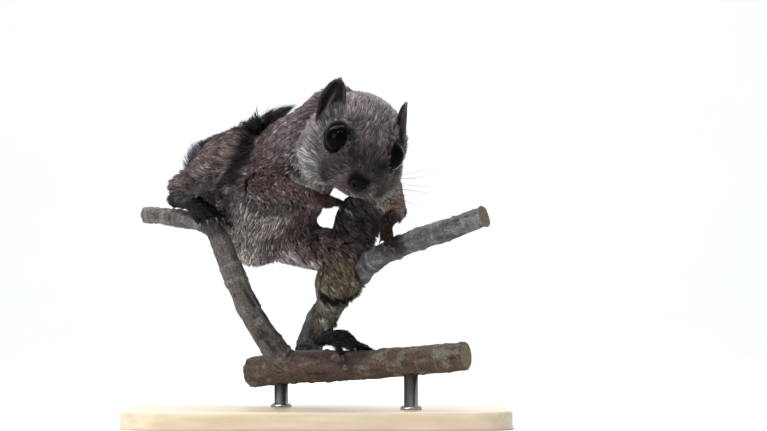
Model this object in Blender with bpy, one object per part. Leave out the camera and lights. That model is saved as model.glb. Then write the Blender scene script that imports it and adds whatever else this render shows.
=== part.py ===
"""A flying squirrel crouched on a forked branch, still and life-size, on a plain display stand.

The numbers below are millimetres and the scene is in metres. X runs to the viewer's right, Y away
from the viewer and Z up. The origin is the middle of the stand's underside. The surfaces are those
of the coat, so the body's short fur lies inside them. Right and left are the animal's own.
"""

import math
import random

import bmesh
import bpy
import numpy as np
from mathutils import Matrix, Vector

MM = 0.001
SEED = 7

# How far a piece is cut back from what it meets, and how far a parting cut stands to each side
CLEARANCE = 0.38
PARTING = 0.17

# The head's place and turn, and its own frame: x to the nose, y to the animal's left, z up
HEAD_CENTRE = Vector((13.8, -54.2, 90.5))
HEAD_YAW = 17.0
HEAD_PITCH = 28.0
HEAD_ROLL = 26.0

# Along the head: forward place, half width, height of the crown and height of the throat
HEAD_STATIONS = (
    (19.4, 2.8, -0.8, -5.6),
    (18.2, 4.8, 1.4, -7.8),
    (15.5, 7.0, 4.4, -9.4),
    (12.0, 9.0, 7.6, -10.6),
    (8.0, 11.2, 10.6, -11.4),
    (4.0, 13.6, 13.0, -12.0),
    (-1.0, 15.8, 15.2, -12.6),
    (-7.0, 16.8, 15.7, -12.8),
    (-13.0, 15.0, 14.0, -12.4),
    (-18.0, 12.0, 10.8, -10.6),
    (-21.0, 6.0, 5.0, -6.0),
)
EYE_CENTRE = (6.2, 8.1, 4.2)
EYE_RADIUS = 5.2
LID_TUBE = 0.9
LID_REACH = 1.03
LID_RISE = 0.36
LID_STEPS = 24

HEAD_TRIANGLES = 1150

# Cheek, jaw, whisker pad, brow and inner corner of the eye: place on the head, then half sizes
CHEEK_BALLS = (
    (-4.0, 10.8, -6.6, 10.0, 7.2, 7.6),
    (0.5, 9.8, -8.6, 8.6, 6.4, 5.6),
    (7.0, 7.2, -6.4, 8.0, 5.2, 5.0),
    (13.6, 3.8, -5.4, 5.6, 3.8, 3.8),
    (3.6, 5.6, 6.6, 9.0, 4.8, 4.2),
    (9.4, 4.6, 2.4, 8.0, 4.8, 5.2),
)
CHIN = (11.8, 0.0, -8.4)
CHIN_SIZE = (4.6, 3.4, 2.4)

NOSE_CENTRE = (18.9, 0.0, -2.5)
NOSE_RADII = (2.2, 3.0, 2.2)
NOSTRIL_RADIUS = 0.6
NOSTRIL_PLACE = (1.3, 1.35, -0.5)

# The mouth line: its middle, how far its corners lie back, out and down, and the cut's own size
MOUTH_MIDDLE = (17.6, 0.0, -7.3)
MOUTH_CORNER = (7.6, 5.9, 1.0)
MOUTH_STEPS = 14
MOUTH_DEPTH = 1.1
MOUTH_GAPE = 0.55

# The ears: foot, lean and facing on the head, then their size and how fast they narrow to the tip
EAR_BASE = (-2.8, 13.6, 8.0)
EAR_LEAN = {"right": (-0.37, 0.0, 0.93), "left": (-0.37, -0.22, 0.90)}
EAR_FACING = {"right": (0.85, 0.40, 0.30), "left": (0.20, 0.95, 0.20)}
EAR_HEIGHT = 13.0
EAR_WIDTH = 8.6
EAR_WIDEST = 0.42
EAR_POINT = 1.5
EAR_CUP = 3.4
EAR_THICKNESS = 0.9
EAR_ROWS = 11
EAR_COLUMNS = 10

# The spine from neck to rump, with the half width and half depth of the body there
SPINE = (
    ((7.2, -39.5, 97.6), 14.0, 14.6),
    ((2.8, -29.0, 95.4), 14.0, 13.8),
    ((-4.0, -14.0, 91.0), 15.5, 15.0),
    ((-9.0, -3.0, 87.0), 16.5, 16.0),
    ((-13.0, 8.0, 82.0), 17.3, 17.0),
    ((-17.0, 17.0, 75.5), 17.3, 17.0),
    ((-20.5, 25.0, 70.0), 16.0, 16.0),
    ((-23.5, 32.5, 66.0), 12.0, 12.0),
)
NECK_CUT = (1.5, -23.0, 93.0)
WAIST_CUT = (-13.0, 8.0, 82.0)

# Each limb's joints from the body outwards, with the limb's half thickness there
ARMS = {
    "right": (((-10.0, -18.0, 90.0), 7.0), ((-19.0, -29.0, 80.0), 5.6), ((-0.5, -50.5, 74.2), 3.4)),
    "left": (((6.0, -15.0, 87.0), 7.0), ((21.5, -8.0, 82.5), 5.6), ((26.6, -29.5, 71.4), 3.3)),
}
LEGS = {
    "right": (((-27.0, 22.0, 77.0), 9.0), ((-25.8, 0.0, 94.0), 6.8), ((-48.0, 21.5, 81.6), 4.2)),
    "left": (((-11.0, 23.0, 64.0), 9.5), ((9.5, -5.0, 57.0), 7.4), ((1.2, 12.0, 34.0), 3.9)),
}

# The gliding membranes, folded along the flanks: root line and free edge, from wrist to ankle,
# and their section, each point a share of the way from root to edge and of the half thickness
MEMBRANE_ROOTS = {
    "right": (
        (-2.0, -49.0, 73.5),
        (-10.0, -41.0, 76.0),
        (-18.0, -29.0, 79.0),
        (-20.0, -17.0, 84.0),
        (-25.0, -7.0, 88.0),
        (-31.0, 2.0, 87.0),
        (-39.0, 12.0, 85.0),
        (-47.0, 20.0, 81.5),
    ),
    "left": (
        (25.5, -27.5, 71.5),
        (23.5, -17.0, 76.5),
        (19.0, -7.0, 79.0),
        (10.0, -1.0, 76.0),
        (6.0, -2.0, 66.0),
        (9.0, -6.0, 57.0),
        (6.0, 2.0, 46.0),
        (2.0, 10.0, 36.0),
    ),
}
MEMBRANE_EDGES = {
    "right": (
        (-2.5, -50.5, 70.3),
        (-10.5, -43.5, 69.8),
        (-20.5, -32.0, 71.5),
        (-26.5, -20.0, 77.0),
        (-31.0, -12.0, 81.0),
        (-35.5, -3.0, 79.5),
        (-42.0, 7.0, 78.0),
        (-48.5, 16.5, 77.2),
    ),
    "left": (
        (27.0, -26.0, 68.2),
        (27.5, -15.0, 70.5),
        (25.5, -4.0, 72.5),
        (21.0, -1.0, 68.0),
        (19.0, -6.0, 61.5),
        (18.5, -10.0, 54.0),
        (12.5, -4.0, 44.0),
        (6.5, 6.5, 36.0),
    ),
}
MEMBRANE_SECTION = (
    (-0.15, 1.0),
    (0.3, 1.0),
    (0.7, 0.85),
    (0.95, 0.5),
    (1.0, 0.0),
    (0.95, -0.5),
    (0.7, -0.85),
    (0.3, -1.0),
    (-0.15, -1.0),
)
MEMBRANE_HALF_DEPTH = 1.0
MEMBRANE_STATIONS = 15
MEMBRANE_RIPPLE = 0.7

# The swelling of calf and forearm muscles, and how far down the limb it lies
MUSCLE = {"leg": 1.35, "arm": 1.1}
MUSCLE_PLACE = 0.28

# Triangles left in each smooth form
TRUNK_TRIANGLES = 1100
LEG_TRIANGLES = 350
ARM_TRIANGLES = 290
SOLE_TRIANGLES = 110

# Each paw: wrist or ankle, the way it points, the way its back faces, length and half width
PAWS = {
    "hand_right": ((-0.5, -50.5, 74.2), (0.90, -0.40, -0.12), (0.15, 0.1, 0.95), 12.5, 3.6),
    "hand_left": ((26.6, -29.5, 71.4), (-0.62, -0.25, -0.62), (-0.5, -0.5, 0.8), 13.0, 3.7),
    "foot_right": ((-50.0, 24.0, 77.2), (17.0, -24.0, -3.2), (0.0, 0.0, 1.0), 29.0, 4.3),
    "foot_left": ((0.2, 13.5, 29.6), (15.0, -21.0, 0.8), (0.0, 0.0, 1.0), 29.0, 4.3),
}
PALM_SHARE = 0.55
DIGIT_THICKNESS = 0.28
CLAW_LENGTH = 2.5

# Digits across a paw: place from the middle, share of the paw's length, turn round the branch
FINGERS = ((-0.9, 0.42, 0.5), (-0.32, 0.52, 0.25), (0.32, 0.51, -0.25), (0.9, 0.41, -0.5))
TOES = ((-1.0, 0.34, 0.5), (-0.5, 0.43, 0.25), (0.0, 0.46, 0.0), (0.5, 0.43, -0.25), (1.0, 0.32, -0.5))

# The branches of the perch: centreline from the free end to the fork, and half thickness
LIMB = (
    ((-23.0, 22.0, 17.6), 5.6),
    ((-8.6, 11.0, 19.6), 5.9),
    ((7.4, -1.0, 20.3), 5.5),
    ((18.0, -11.0, 21.0), 5.2),
    ((31.0, -20.0, 22.0), 5.0),
    ((49.0, -28.5, 23.8), 4.9),
)
BRANCH_LEFT = (
    ((-60.5, 31.5, 72.3), 3.1),
    ((-46.3, 19.0, 70.3), 3.3),
    ((-36.0, 8.0, 66.6), 3.7),
    ((-30.0, 4.0, 54.0), 4.1),
    ((-23.4, 4.0, 39.0), 4.4),
    ((-14.5, 8.0, 25.0), 4.8),
    ((-10.0, 11.0, 20.0), 4.4),
)
BRANCH_RIGHT = (
    ((54.3, -49.0, 69.0), 3.7),
    ((40.2, -41.0, 64.1), 3.9),
    ((27.4, -30.0, 59.9), 4.0),
    ((18.6, -17.0, 55.5), 4.1),
    ((11.8, 9.0, 49.5), 4.2),
    ((5.4, 20.0, 44.0), 4.3),
    ((-0.5, 24.0, 36.0), 4.5),
    ((-4.0, 17.0, 25.0), 4.8),
    ((-4.5, 12.0, 20.5), 4.4),
)
BRANCH_SIDES = 10
BRANCH_STEP = 6.5
KNOT_RISE = 0.35

# The tail's centreline from the rump to its tip
TAIL_PATH = (
    (-25.5, 38.5, 64.0),
    (-31.5, 46.0, 68.5),
    (-37.5, 47.0, 78.0),
    (-39.0, 40.0, 87.5),
    (-34.0, 28.0, 94.5),
    (-27.5, 16.0, 98.0),
    (-23.0, 8.0, 100.5),
    (-19.0, 1.0, 103.0),
)
TAIL_ACROSS = ((0.80, -0.05, -0.60), (0.85, 0.0, 0.40))
TAIL_CUTS = (0.34, 0.68)
TAIL_HALF_WIDTH = 4.4
TAIL_HALF_DEPTH = 3.0
TAIL_NODE_NAMES = ("tail_base", "tail_middle", "tail_tip")
LOCK_REACH = 7.6
LOCK_SWEEP = (7.0, 12.0)
LOCK_WIDTH = 2.9
LOCK_DEPTH = 1.1
LOCKS_A_SIDE = 15
LOCKS_FROM = 0.05
TIP_LOCK_TURNS = (-0.62, -0.22, 0.18, 0.58)

# The stand: a flat plate and two rods under the main limb
BASE_SIZE = (128.0, 98.0, 6.0)
BASE_CORNER = 14.0
BASE_EDGE = 0.8
ROD_RADIUS = 2.4
ROD_SIDES = 20
ROD_LENGTH = 14.0
ROD_GAP = 0.3
ROD_FEET = {"stand_rod_rear": (-13.0, 14.2), "stand_rod_front": (31.0, -20.0)}

# Colour, roughness and metallic value of each material
FINISHES = {
    "coat_head": ("#8A7F76", 0.9, 0.0),
    "coat_body": ("#8C7C70", 0.9, 0.0),
    "coat_limb": ("#9A8573", 0.9, 0.0),
    "coat_tail": ("#7A6A5F", 0.9, 0.0),
    "coat_membrane": ("#5B544F", 0.9, 0.0),
    "skin_ear": ("#5A4740", 0.8, 0.0),
    "skin_hand": ("#6B4038", 0.7, 0.0),
    "skin_foot": ("#5C5A5E", 0.8, 0.0),
    "skin_nose": ("#4A3638", 0.5, 0.0),
    "eye_black": ("#08080C", 0.1, 0.0),
    "bark": ("#6E564B", 0.9, 0.0),
    "stand_wood": ("#CFC7BA", 0.5, 0.0),
    "rod_steel": ("#8E8F90", 0.3, 1.0),
}


def clear_scene():
    """Empties the scene that the script starts in."""
    for thing in list(bpy.data.objects):
        bpy.data.objects.remove(thing, do_unlink=True)


def material(name):
    """The named finish as a Principled material, made once."""
    found = bpy.data.materials.get(name)
    if found:
        return found
    colour, roughness, metallic = FINISHES[name]
    made = bpy.data.materials.new(name)
    made.use_nodes = True
    shader = made.node_tree.nodes["Principled BSDF"]
    levels = [int(colour[i : i + 2], 16) / 255 for i in (1, 3, 5)]
    linear = [((v + 0.055) / 1.055) ** 2.4 if v > 0.04045 else v / 12.92 for v in levels]
    shader.inputs["Base Color"].default_value = (*linear, 1.0)
    shader.inputs["Roughness"].default_value = roughness
    shader.inputs["Metallic"].default_value = metallic
    return made


def place(name, mesh):
    """A mesh as an object in the scene."""
    made = bpy.data.objects.new(name, mesh)
    bpy.context.scene.collection.objects.link(made)
    return made


def discard(thing):
    """Removes a helper object and its mesh."""
    mesh = thing.data
    bpy.data.objects.remove(thing, do_unlink=True)
    bpy.data.meshes.remove(mesh)


def mesh_of(points, faces):
    """A mesh from millimetre points and faces, its normals facing out."""
    mesh = bpy.data.meshes.new("piece")
    mesh.from_pydata([[value * MM for value in point] for point in points], [], faces)
    work = bmesh.new()
    work.from_mesh(mesh)
    bmesh.ops.recalc_face_normals(work, faces=work.faces)
    work.to_mesh(mesh)
    work.free()
    return mesh


def baked(thing):
    """Applies an object's modifiers by replacing its mesh with the evaluated one."""
    graph = bpy.context.evaluated_depsgraph_get()
    mesh = bpy.data.meshes.new_from_object(thing.evaluated_get(graph))
    old = thing.data
    thing.modifiers.clear()
    thing.data = mesh
    bpy.data.meshes.remove(old)
    return thing


def ball(centre, radii, turn=None, detail=3):
    """A stretched ball as a mesh."""
    work = bmesh.new()
    bmesh.ops.create_icosphere(work, subdivisions=detail, radius=1.0)
    stretch = Matrix.Diagonal((*[radius * MM for radius in radii], 1.0))
    turned = (turn or Matrix.Identity(3)).to_4x4() @ stretch
    bmesh.ops.transform(work, matrix=Matrix.Translation(Vector(centre) * MM) @ turned, verts=work.verts)
    mesh = bpy.data.meshes.new("ball")
    work.to_mesh(mesh)
    work.free()
    return mesh


def curve_through(knots, count):
    """Evenly many points on a smooth curve through the knots (rows of numbers of any width)."""
    knots = np.asarray(knots, float)
    ends = np.vstack([2 * knots[0] - knots[1], knots, 2 * knots[-1] - knots[-2]])
    places = np.linspace(0, len(knots) - 1, count)
    rows = []
    for place_on in places:
        span = min(int(place_on), len(knots) - 2)
        t = place_on - span
        a, b, c, d = ends[span : span + 4]
        rows.append(
            0.5 * (2 * b + (c - a) * t + (2 * a - 5 * b + 4 * c - d) * t**2 + (3 * b - a - 3 * c + d) * t**3)
        )
    return np.array(rows)


def frames_along(path, side):
    """Unit tangents, sides and normals along a path, each side kept near the given direction."""
    tangents = np.gradient(path, axis=0)
    tangents /= np.linalg.norm(tangents, axis=1, keepdims=True)
    side = np.broadcast_to(np.asarray(side, float), path.shape)
    sides = side - (side * tangents).sum(axis=1, keepdims=True) * tangents
    sides /= np.linalg.norm(sides, axis=1, keepdims=True)
    return tangents, sides, np.cross(tangents, sides)


def tube(path, half_widths, half_depths, sides=10, side=(1.0, 0.0, 0.0), rough=0.0, draw=None):
    """A closed tube along a path whose rings are ellipses, with flat ends."""
    path = np.asarray(path, float)
    _, across, above = frames_along(path, side)
    half_widths = np.broadcast_to(half_widths, len(path))
    half_depths = np.broadcast_to(half_depths, len(path))
    points = []
    for i, middle in enumerate(path):
        for k in range(sides):
            angle = math.tau * k / sides
            swell = 1.0 + (rough * draw.uniform(-1, 1) if draw else 0.0)
            points.append(
                middle
                + across[i] * half_widths[i] * math.cos(angle) * swell
                + above[i] * half_depths[i] * math.sin(angle) * swell
            )
    faces = [tuple(range(sides)), tuple(range((len(path) - 1) * sides, len(path) * sides))]
    for i in range(len(path) - 1):
        for k in range(sides):
            near, far = i * sides + k, i * sides + (k + 1) % sides
            faces.append((near, far, far + sides, near + sides))
    return mesh_of(points, faces)


def chain(knots, count):
    """Balls along a smooth path, each knot a place with a half width and a half depth."""
    rows = curve_through([(*place_at, wide, deep) for place_at, wide, deep in knots], count)
    _, across, above = frames_along(rows[:, :3], (0.9, 0.2, -0.35))
    along = np.cross(across, above)
    links = []
    for i, (x, y, z, wide, deep) in enumerate(rows):
        turn = Matrix((across[i], above[i], along[i])).transposed()
        links.append(ball((x, y, z), (wide, deep, (wide + deep) / 2), turn))
    return links


def joined(name, meshes):
    """Several meshes in one object, not fused."""
    work = bmesh.new()
    for mesh in meshes:
        work.from_mesh(mesh)
    whole = bpy.data.meshes.new(name)
    work.to_mesh(whole)
    work.free()
    for mesh in meshes:
        bpy.data.meshes.remove(mesh)
    return place(name, whole)


def thinned(thing, triangles):
    """Fewer triangles, spread as the shape needs them."""
    thing.modifiers.new("faces", "TRIANGULATE")
    baked(thing)
    fewer = thing.modifiers.new("fewer", "DECIMATE")
    fewer.ratio = min(1.0, triangles / len(thing.data.polygons))
    return baked(thing)


def blended(name, meshes, triangles, grain=0.9, rounds=6):
    """One smooth closed surface round overlapping pieces."""
    thing = joined(name, meshes)
    skin = thing.modifiers.new("skin", "REMESH")
    skin.mode = "VOXEL"
    skin.voxel_size = grain * MM
    soft = thing.modifiers.new("soft", "SMOOTH")
    soft.factor = 0.5
    soft.iterations = rounds
    return keep_largest(thinned(baked(thing), triangles))


def keep_largest(thing):
    """Keeps the largest closed surface of an object's mesh and drops loose scraps."""
    work = bmesh.new()
    work.from_mesh(thing.data)
    bmesh.ops.remove_doubles(work, verts=work.verts, dist=0.0005 * MM)
    bmesh.ops.triangulate(work, faces=work.faces)
    islands = []
    seen = set()
    for start in work.faces:
        if start in seen:
            continue
        island = []
        stack = [start]
        seen.add(start)
        while stack:
            face = stack.pop()
            island.append(face)
            for edge in face.edges:
                for other in edge.link_faces:
                    if other not in seen:
                        seen.add(other)
                        stack.append(other)
        islands.append(island)
    islands.sort(key=lambda island: sum(face.calc_area() for face in island), reverse=True)
    spare = [face for island in islands[1:] for face in island]
    if spare:
        bmesh.ops.delete(work, geom=spare, context="FACES")
    loose = [vert for vert in work.verts if not vert.link_faces]
    bmesh.ops.delete(work, geom=loose, context="VERTS")
    work.to_mesh(thing.data)
    work.free()
    return thing


def boolean(thing, others, operation, solver="EXACT"):
    """One Boolean of an object with a collection of closed meshes, applied."""
    group = bpy.data.collections.new("cutters")
    for other in others:
        group.objects.link(other)
    step = thing.modifiers.new("boolean", "BOOLEAN")
    step.operation = operation
    step.operand_type = "COLLECTION"
    step.collection = group
    step.solver = solver
    baked(thing)
    for other in list(group.objects):
        discard(other)
    bpy.data.collections.remove(group)
    return keep_largest(thing)


def grown(thing, by=CLEARANCE):
    """A copy of a piece, larger by a clearance all round."""
    copy = place("grown", thing.data.copy())
    step = copy.modifiers.new("grow", "DISPLACE")
    step.strength = by * MM
    step.mid_level = 0.0
    return baked(copy)


def cut_clear(thing, neighbours, solver="EXACT"):
    """Cuts a piece back from each neighbour, so that they meet face to face across the clearance."""
    for neighbour in neighbours:
        boolean(thing, [grown(neighbour)], "DIFFERENCE", solver)
    return thing


def half(thing, name, point, normal):
    """The part of a piece on the far side of a plane, closed by a flat face there."""
    work = bmesh.new()
    work.from_mesh(thing.data)
    normal = Vector(normal).normalized()
    plane = (Vector(point) + normal * PARTING) * MM
    everything = work.verts[:] + work.edges[:] + work.faces[:]
    cut = bmesh.ops.bisect_plane(work, geom=everything, plane_co=plane, plane_no=normal, clear_inner=True)
    rim = [item for item in cut["geom_cut"] if isinstance(item, bmesh.types.BMEdge)]
    bmesh.ops.triangle_fill(work, edges=rim, use_beauty=True, use_dissolve=False)
    bmesh.ops.recalc_face_normals(work, faces=work.faces)
    mesh = bpy.data.meshes.new(name)
    work.to_mesh(mesh)
    work.free()
    return keep_largest(place(name, mesh))


def parted(thing, names, point, normal):
    """Parts a piece in two by a thin plane cut: the first name is on the side the normal leaves."""
    back = half(thing, names[0], point, -Vector(normal))
    front = half(thing, names[1], point, Vector(normal))
    discard(thing)
    return back, front


def finish(thing, name, finish_name, smooth=True):
    """Names a finished node and gives it its material."""
    thing.name = name
    thing.data.name = name
    thing.data.materials.clear()
    thing.data.materials.append(material(finish_name))
    for face in thing.data.polygons:
        face.use_smooth = smooth
    return thing


# The head's frame

HEAD_TURN = (
    Matrix.Rotation(math.radians(HEAD_ROLL), 3, "Y")
    @ Matrix.Rotation(math.radians(HEAD_PITCH), 3, "X")
    @ Matrix.Rotation(math.radians(HEAD_YAW), 3, "Z")
    @ Matrix(((0, 1, 0), (-1, 0, 0), (0, 0, 1)))
)


def on_head(point):
    """A point of the head's own frame, in the world's."""
    return HEAD_CENTRE + HEAD_TURN @ Vector(point)


def head_shell():
    """The head without its features, as a loft through the stations."""
    rows = curve_through(HEAD_STATIONS, 25)
    sides = 24
    points = []
    for forward, half_width, crown, throat in rows:
        middle, tall = (crown + throat) / 2, (crown - throat) / 2
        for k in range(sides):
            angle = math.tau * k / sides
            lean = 1.0 - 0.10 * math.sin(angle)
            points.append(
                on_head((forward, half_width * math.cos(angle) * lean, middle + tall * math.sin(angle)))
            )
    faces = [tuple(range(sides)), tuple(range((len(rows) - 1) * sides, len(rows) * sides))]
    for i in range(len(rows) - 1):
        for k in range(sides):
            near, far = i * sides + k, i * sides + (k + 1) % sides
            faces.append((near, far, far + sides, near + sides))
    return mesh_of(points, faces)


def eye_axis(side):
    """Where an eye looks, in the head's frame."""
    return Vector((0.42, 0.86 * side, 0.28)).normalized()


def lid_ring(side):
    """The rim of lids round an eye: a ring of round section about the eye's own axis."""
    axis = eye_axis(side)
    first = axis.cross(Vector((0, 0, 1))).normalized()
    second = axis.cross(first)
    middle = Vector((EYE_CENTRE[0], EYE_CENTRE[1] * side, EYE_CENTRE[2])) + axis * EYE_RADIUS * LID_RISE
    points = []
    for k in range(LID_STEPS):
        angle = math.tau * k / LID_STEPS
        out = first * math.cos(angle) + second * math.sin(angle)
        for j in range(6):
            turn = math.tau * j / 6
            around = out * math.cos(turn) + axis * math.sin(turn)
            points.append(on_head(middle + out * EYE_RADIUS * LID_REACH + around * LID_TUBE))
    faces = []
    for k in range(LID_STEPS):
        for j in range(6):
            near, far = 6 * k, 6 * ((k + 1) % LID_STEPS)
            faces.append((near + j, near + (j + 1) % 6, far + (j + 1) % 6, far + j))
    return mesh_of(points, faces)


def build_head():
    """The head with brows, cheeks, whisker pads, lids, mouth line and sockets, and its eyes."""
    soft = [head_shell(), ball(on_head(CHIN), CHIN_SIZE, HEAD_TURN)]
    for side in (-1, 1):
        for forward, across, height, length, wide, tall in CHEEK_BALLS:
            soft.append(ball(on_head((forward, across * side, height)), (length, wide, tall), HEAD_TURN))
    head = blended("head", soft, HEAD_TRIANGLES, grain=0.7, rounds=22)
    boolean(head, [place("lids", lid_ring(side)) for side in (-1, 1)], "UNION")
    cutters = []
    for side in (-1, 1):
        middle = on_head((EYE_CENTRE[0], EYE_CENTRE[1] * side, EYE_CENTRE[2]))
        cutters.append(place("socket", ball(middle, (EYE_RADIUS + CLEARANCE,) * 3)))
    boolean(head, cutters, "DIFFERENCE")
    boolean(head, [mouth_cutter()], "DIFFERENCE")
    for side, name in ((-1, "eye_right"), (1, "eye_left")):
        middle = on_head((EYE_CENTRE[0], EYE_CENTRE[1] * side, EYE_CENTRE[2]))
        finish(place(name, ball(middle, (EYE_RADIUS,) * 3)), name, "eye_black")
    return finish(head, "head", "coat_head")


def mouth_cutter():
    """A thin curved blade that leaves the line between the lips."""
    middle, corner = Vector(MOUTH_MIDDLE), Vector(MOUTH_CORNER)
    points = []
    for k in range(MOUTH_STEPS + 1):
        t = 2 * k / MOUTH_STEPS - 1
        bow = abs(t) ** 1.5
        on_lips = Vector((middle.x - corner.x * bow, corner.y * t, middle.z - corner.z * bow))
        inward = Vector((-1.0, -on_lips.y * 0.16, 0.25)).normalized()
        for point in (on_lips - inward * 3.0, on_lips + inward * MOUTH_DEPTH):
            for rise in (-MOUTH_GAPE / 2, MOUTH_GAPE / 2):
                points.append(on_head(point + Vector((0, 0, rise))))
    faces = [(0, 1, 3, 2)]
    for i in range(MOUTH_STEPS):
        a, b = 4 * i, 4 * i + 4
        for near, far in ((0, 1), (2, 3), (0, 2), (1, 3)):
            faces.append((a + near, a + far, b + far, b + near))
    last = 4 * MOUTH_STEPS
    faces.append((last, last + 1, last + 3, last + 2))
    return place("mouth", mesh_of(points, faces))


def build_nose(head):
    """The bare nose pad with its two nostrils."""
    nose = place("nose", ball(on_head(NOSE_CENTRE), NOSE_RADII, HEAD_TURN, 2))
    cutters = []
    for side in (-1, 1):
        ahead, out, up = NOSTRIL_PLACE
        middle = on_head((NOSE_CENTRE[0] + ahead, out * side, NOSE_CENTRE[2] + up))
        radii = (NOSTRIL_RADIUS * 1.6, NOSTRIL_RADIUS, NOSTRIL_RADIUS * 1.1)
        cutters.append(place("nostril", ball(middle, radii, HEAD_TURN, detail=1)))
    boolean(nose, cutters, "DIFFERENCE")
    return finish(cut_clear(nose, [head]), "nose", "skin_nose")


def ear_layer(side, name, layer):
    """One face of an ear: a rounded leaf whose middle is pressed back into a cup."""
    own_side = name.split("_")[1]
    lean, facing = EAR_LEAN[own_side], EAR_FACING[own_side]
    up = Vector((lean[0], lean[1] * side, lean[2])).normalized()
    front = Vector((facing[0], facing[1] * side, facing[2]))
    front = (front - up * front.dot(up)).normalized()
    across = up.cross(front)
    base = Vector((EAR_BASE[0], EAR_BASE[1] * side, EAR_BASE[2]))
    points = []
    for i in range(EAR_ROWS):
        u = math.sin(math.pi / 2 * i / (EAR_ROWS - 1))
        below = 0.72 + 0.28 * math.sin(math.pi / 2 * min(1.0, u / EAR_WIDEST))
        above = math.sqrt(max(0.012, 1 - (max(0.0, u - EAR_WIDEST) / (1 - EAR_WIDEST)) ** EAR_POINT))
        half_width = EAR_WIDTH / 2 * below * above
        depth = EAR_CUP * (1 - 0.45 * u) * above
        thick = EAR_THICKNESS * (1.15 - 0.45 * u) * layer
        for k in range(EAR_COLUMNS):
            v = 2 * k / (EAR_COLUMNS - 1) - 1
            point = base + up * (EAR_HEIGHT * u - 2.0) + across * half_width * v
            points.append(on_head(point - front * (depth * (1 - v * v) + thick + 1.2 * u)))
    return points


def build_ear(side, name, head):
    """A cupped ear: two leaves with a real thickness between them, closed round the rim."""
    points = ear_layer(side, name, 0) + ear_layer(side, name, 1)
    size = EAR_ROWS * EAR_COLUMNS
    faces = []
    for i in range(EAR_ROWS - 1):
        for k in range(EAR_COLUMNS - 1):
            a = i * EAR_COLUMNS + k
            faces.append((a, a + 1, a + EAR_COLUMNS + 1, a + EAR_COLUMNS))
            faces.append((size + a, size + a + EAR_COLUMNS, size + a + EAR_COLUMNS + 1, size + a + 1))
    rim = [k for k in range(EAR_COLUMNS)]
    rim += [i * EAR_COLUMNS + EAR_COLUMNS - 1 for i in range(1, EAR_ROWS)]
    rim += [(EAR_ROWS - 1) * EAR_COLUMNS + k for k in range(EAR_COLUMNS - 2, -1, -1)]
    rim += [i * EAR_COLUMNS for i in range(EAR_ROWS - 2, 0, -1)]
    for i, a in enumerate(rim):
        b = rim[(i + 1) % len(rim)]
        faces.append((a, b, size + b, size + a))
    ear = place(name, mesh_of(points, faces))
    return finish(cut_clear(ear, [head], "MANIFOLD"), name, "skin_ear")


def build_trunk(head):
    """Neck, chest and hindquarters: one surface round the spine, parted by two thin cuts."""
    trunk = blended("trunk", chain(SPINE, 30), TRUNK_TRIANGLES, grain=1.0, rounds=8)
    ahead = Vector(SPINE[1][0]) - Vector(SPINE[2][0])
    rest, neck = parted(trunk, ("rest", "neck"), NECK_CUT, ahead)
    along = Vector(SPINE[3][0]) - Vector(SPINE[5][0])
    rear, front = parted(rest, ("torso_rear", "torso_front"), WAIST_CUT, along)
    cut_clear(neck, [head])
    return [
        finish(neck, "neck", "coat_body"),
        finish(front, "torso_front", "coat_body"),
        finish(rear, "torso_rear", "coat_body"),
    ]


def limb_pieces(joints, names, bulge, triangles):
    """A two-part limb as one surface, parted at its middle joint by the plane that halves the bend."""
    (top, top_r), (mid, mid_r), (end, end_r) = joints
    top, mid, end = Vector(top), Vector(mid), Vector(end)
    muscle = mid.lerp(end, MUSCLE_PLACE)
    muscle_r = mid_r * (1 - MUSCLE_PLACE) + end_r * MUSCLE_PLACE
    upper = chain([(tuple(top), top_r, top_r), (tuple(mid), mid_r, mid_r)], 9)
    lower = chain(
        [
            (tuple(mid), mid_r, mid_r),
            (tuple(muscle), muscle_r * bulge, muscle_r * bulge),
            (tuple(mid.lerp(end, 0.65)), (mid_r + 2 * end_r) / 3, (mid_r + 2 * end_r) / 3),
            (tuple(end), end_r, end_r),
        ],
        12,
    )
    limb = blended("limb", upper + lower, triangles, grain=0.7, rounds=5)
    normal = (top - mid).normalized() - (end - mid).normalized()
    lower_part, upper_part = parted(limb, (names[1], names[0]), mid, normal)
    return upper_part, lower_part


def digit(base, middle, tip, thick):
    """A finger or toe through three points, ending in a hooked claw."""
    upright = (0.2, 0.1, 1.0)
    path = curve_through([base, base.lerp(middle, 0.55), middle, tip], 5)
    widths = [thick * share for share in (1.1, 1.02, 1.0, 0.95, 0.66)]
    toe = tube(path, widths, thick * 0.95, sides=6, side=upright)
    end = Vector(path[-1])
    ahead = Vector(path[-1] - path[-2]).normalized()
    down = (tip - middle).normalized()
    bend = (ahead + down + Vector((0, 0, -0.9))).normalized()
    claw = thick * CLAW_LENGTH
    hook = curve_through([end - ahead * 0.8, end + ahead * claw * 0.5, end + bend * claw], 4)
    widths = [thick * share for share in (0.48, 0.41, 0.28, 0.08)]
    return [toe, tube(hook, widths, widths, sides=4, side=upright)]


def branch_surface(branch, count=200):
    """Dense points, sides and half thicknesses along a branch, used to lay digits on it."""
    return curve_through([(*place_at, thick) for place_at, thick in branch], count)


def nearest_on(branch, point):
    """The branch's centre, direction and half thickness nearest to a point."""
    rows = branch_surface(branch)
    i = int(np.argmin(np.linalg.norm(rows[:, :3] - np.asarray(point), axis=1)))
    i = min(max(i, 1), len(rows) - 2)
    ahead = rows[i + 1, :3] - rows[i - 1, :3]
    return Vector(rows[i, :3]), Vector(ahead / np.linalg.norm(ahead)), rows[i, 3]


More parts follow.
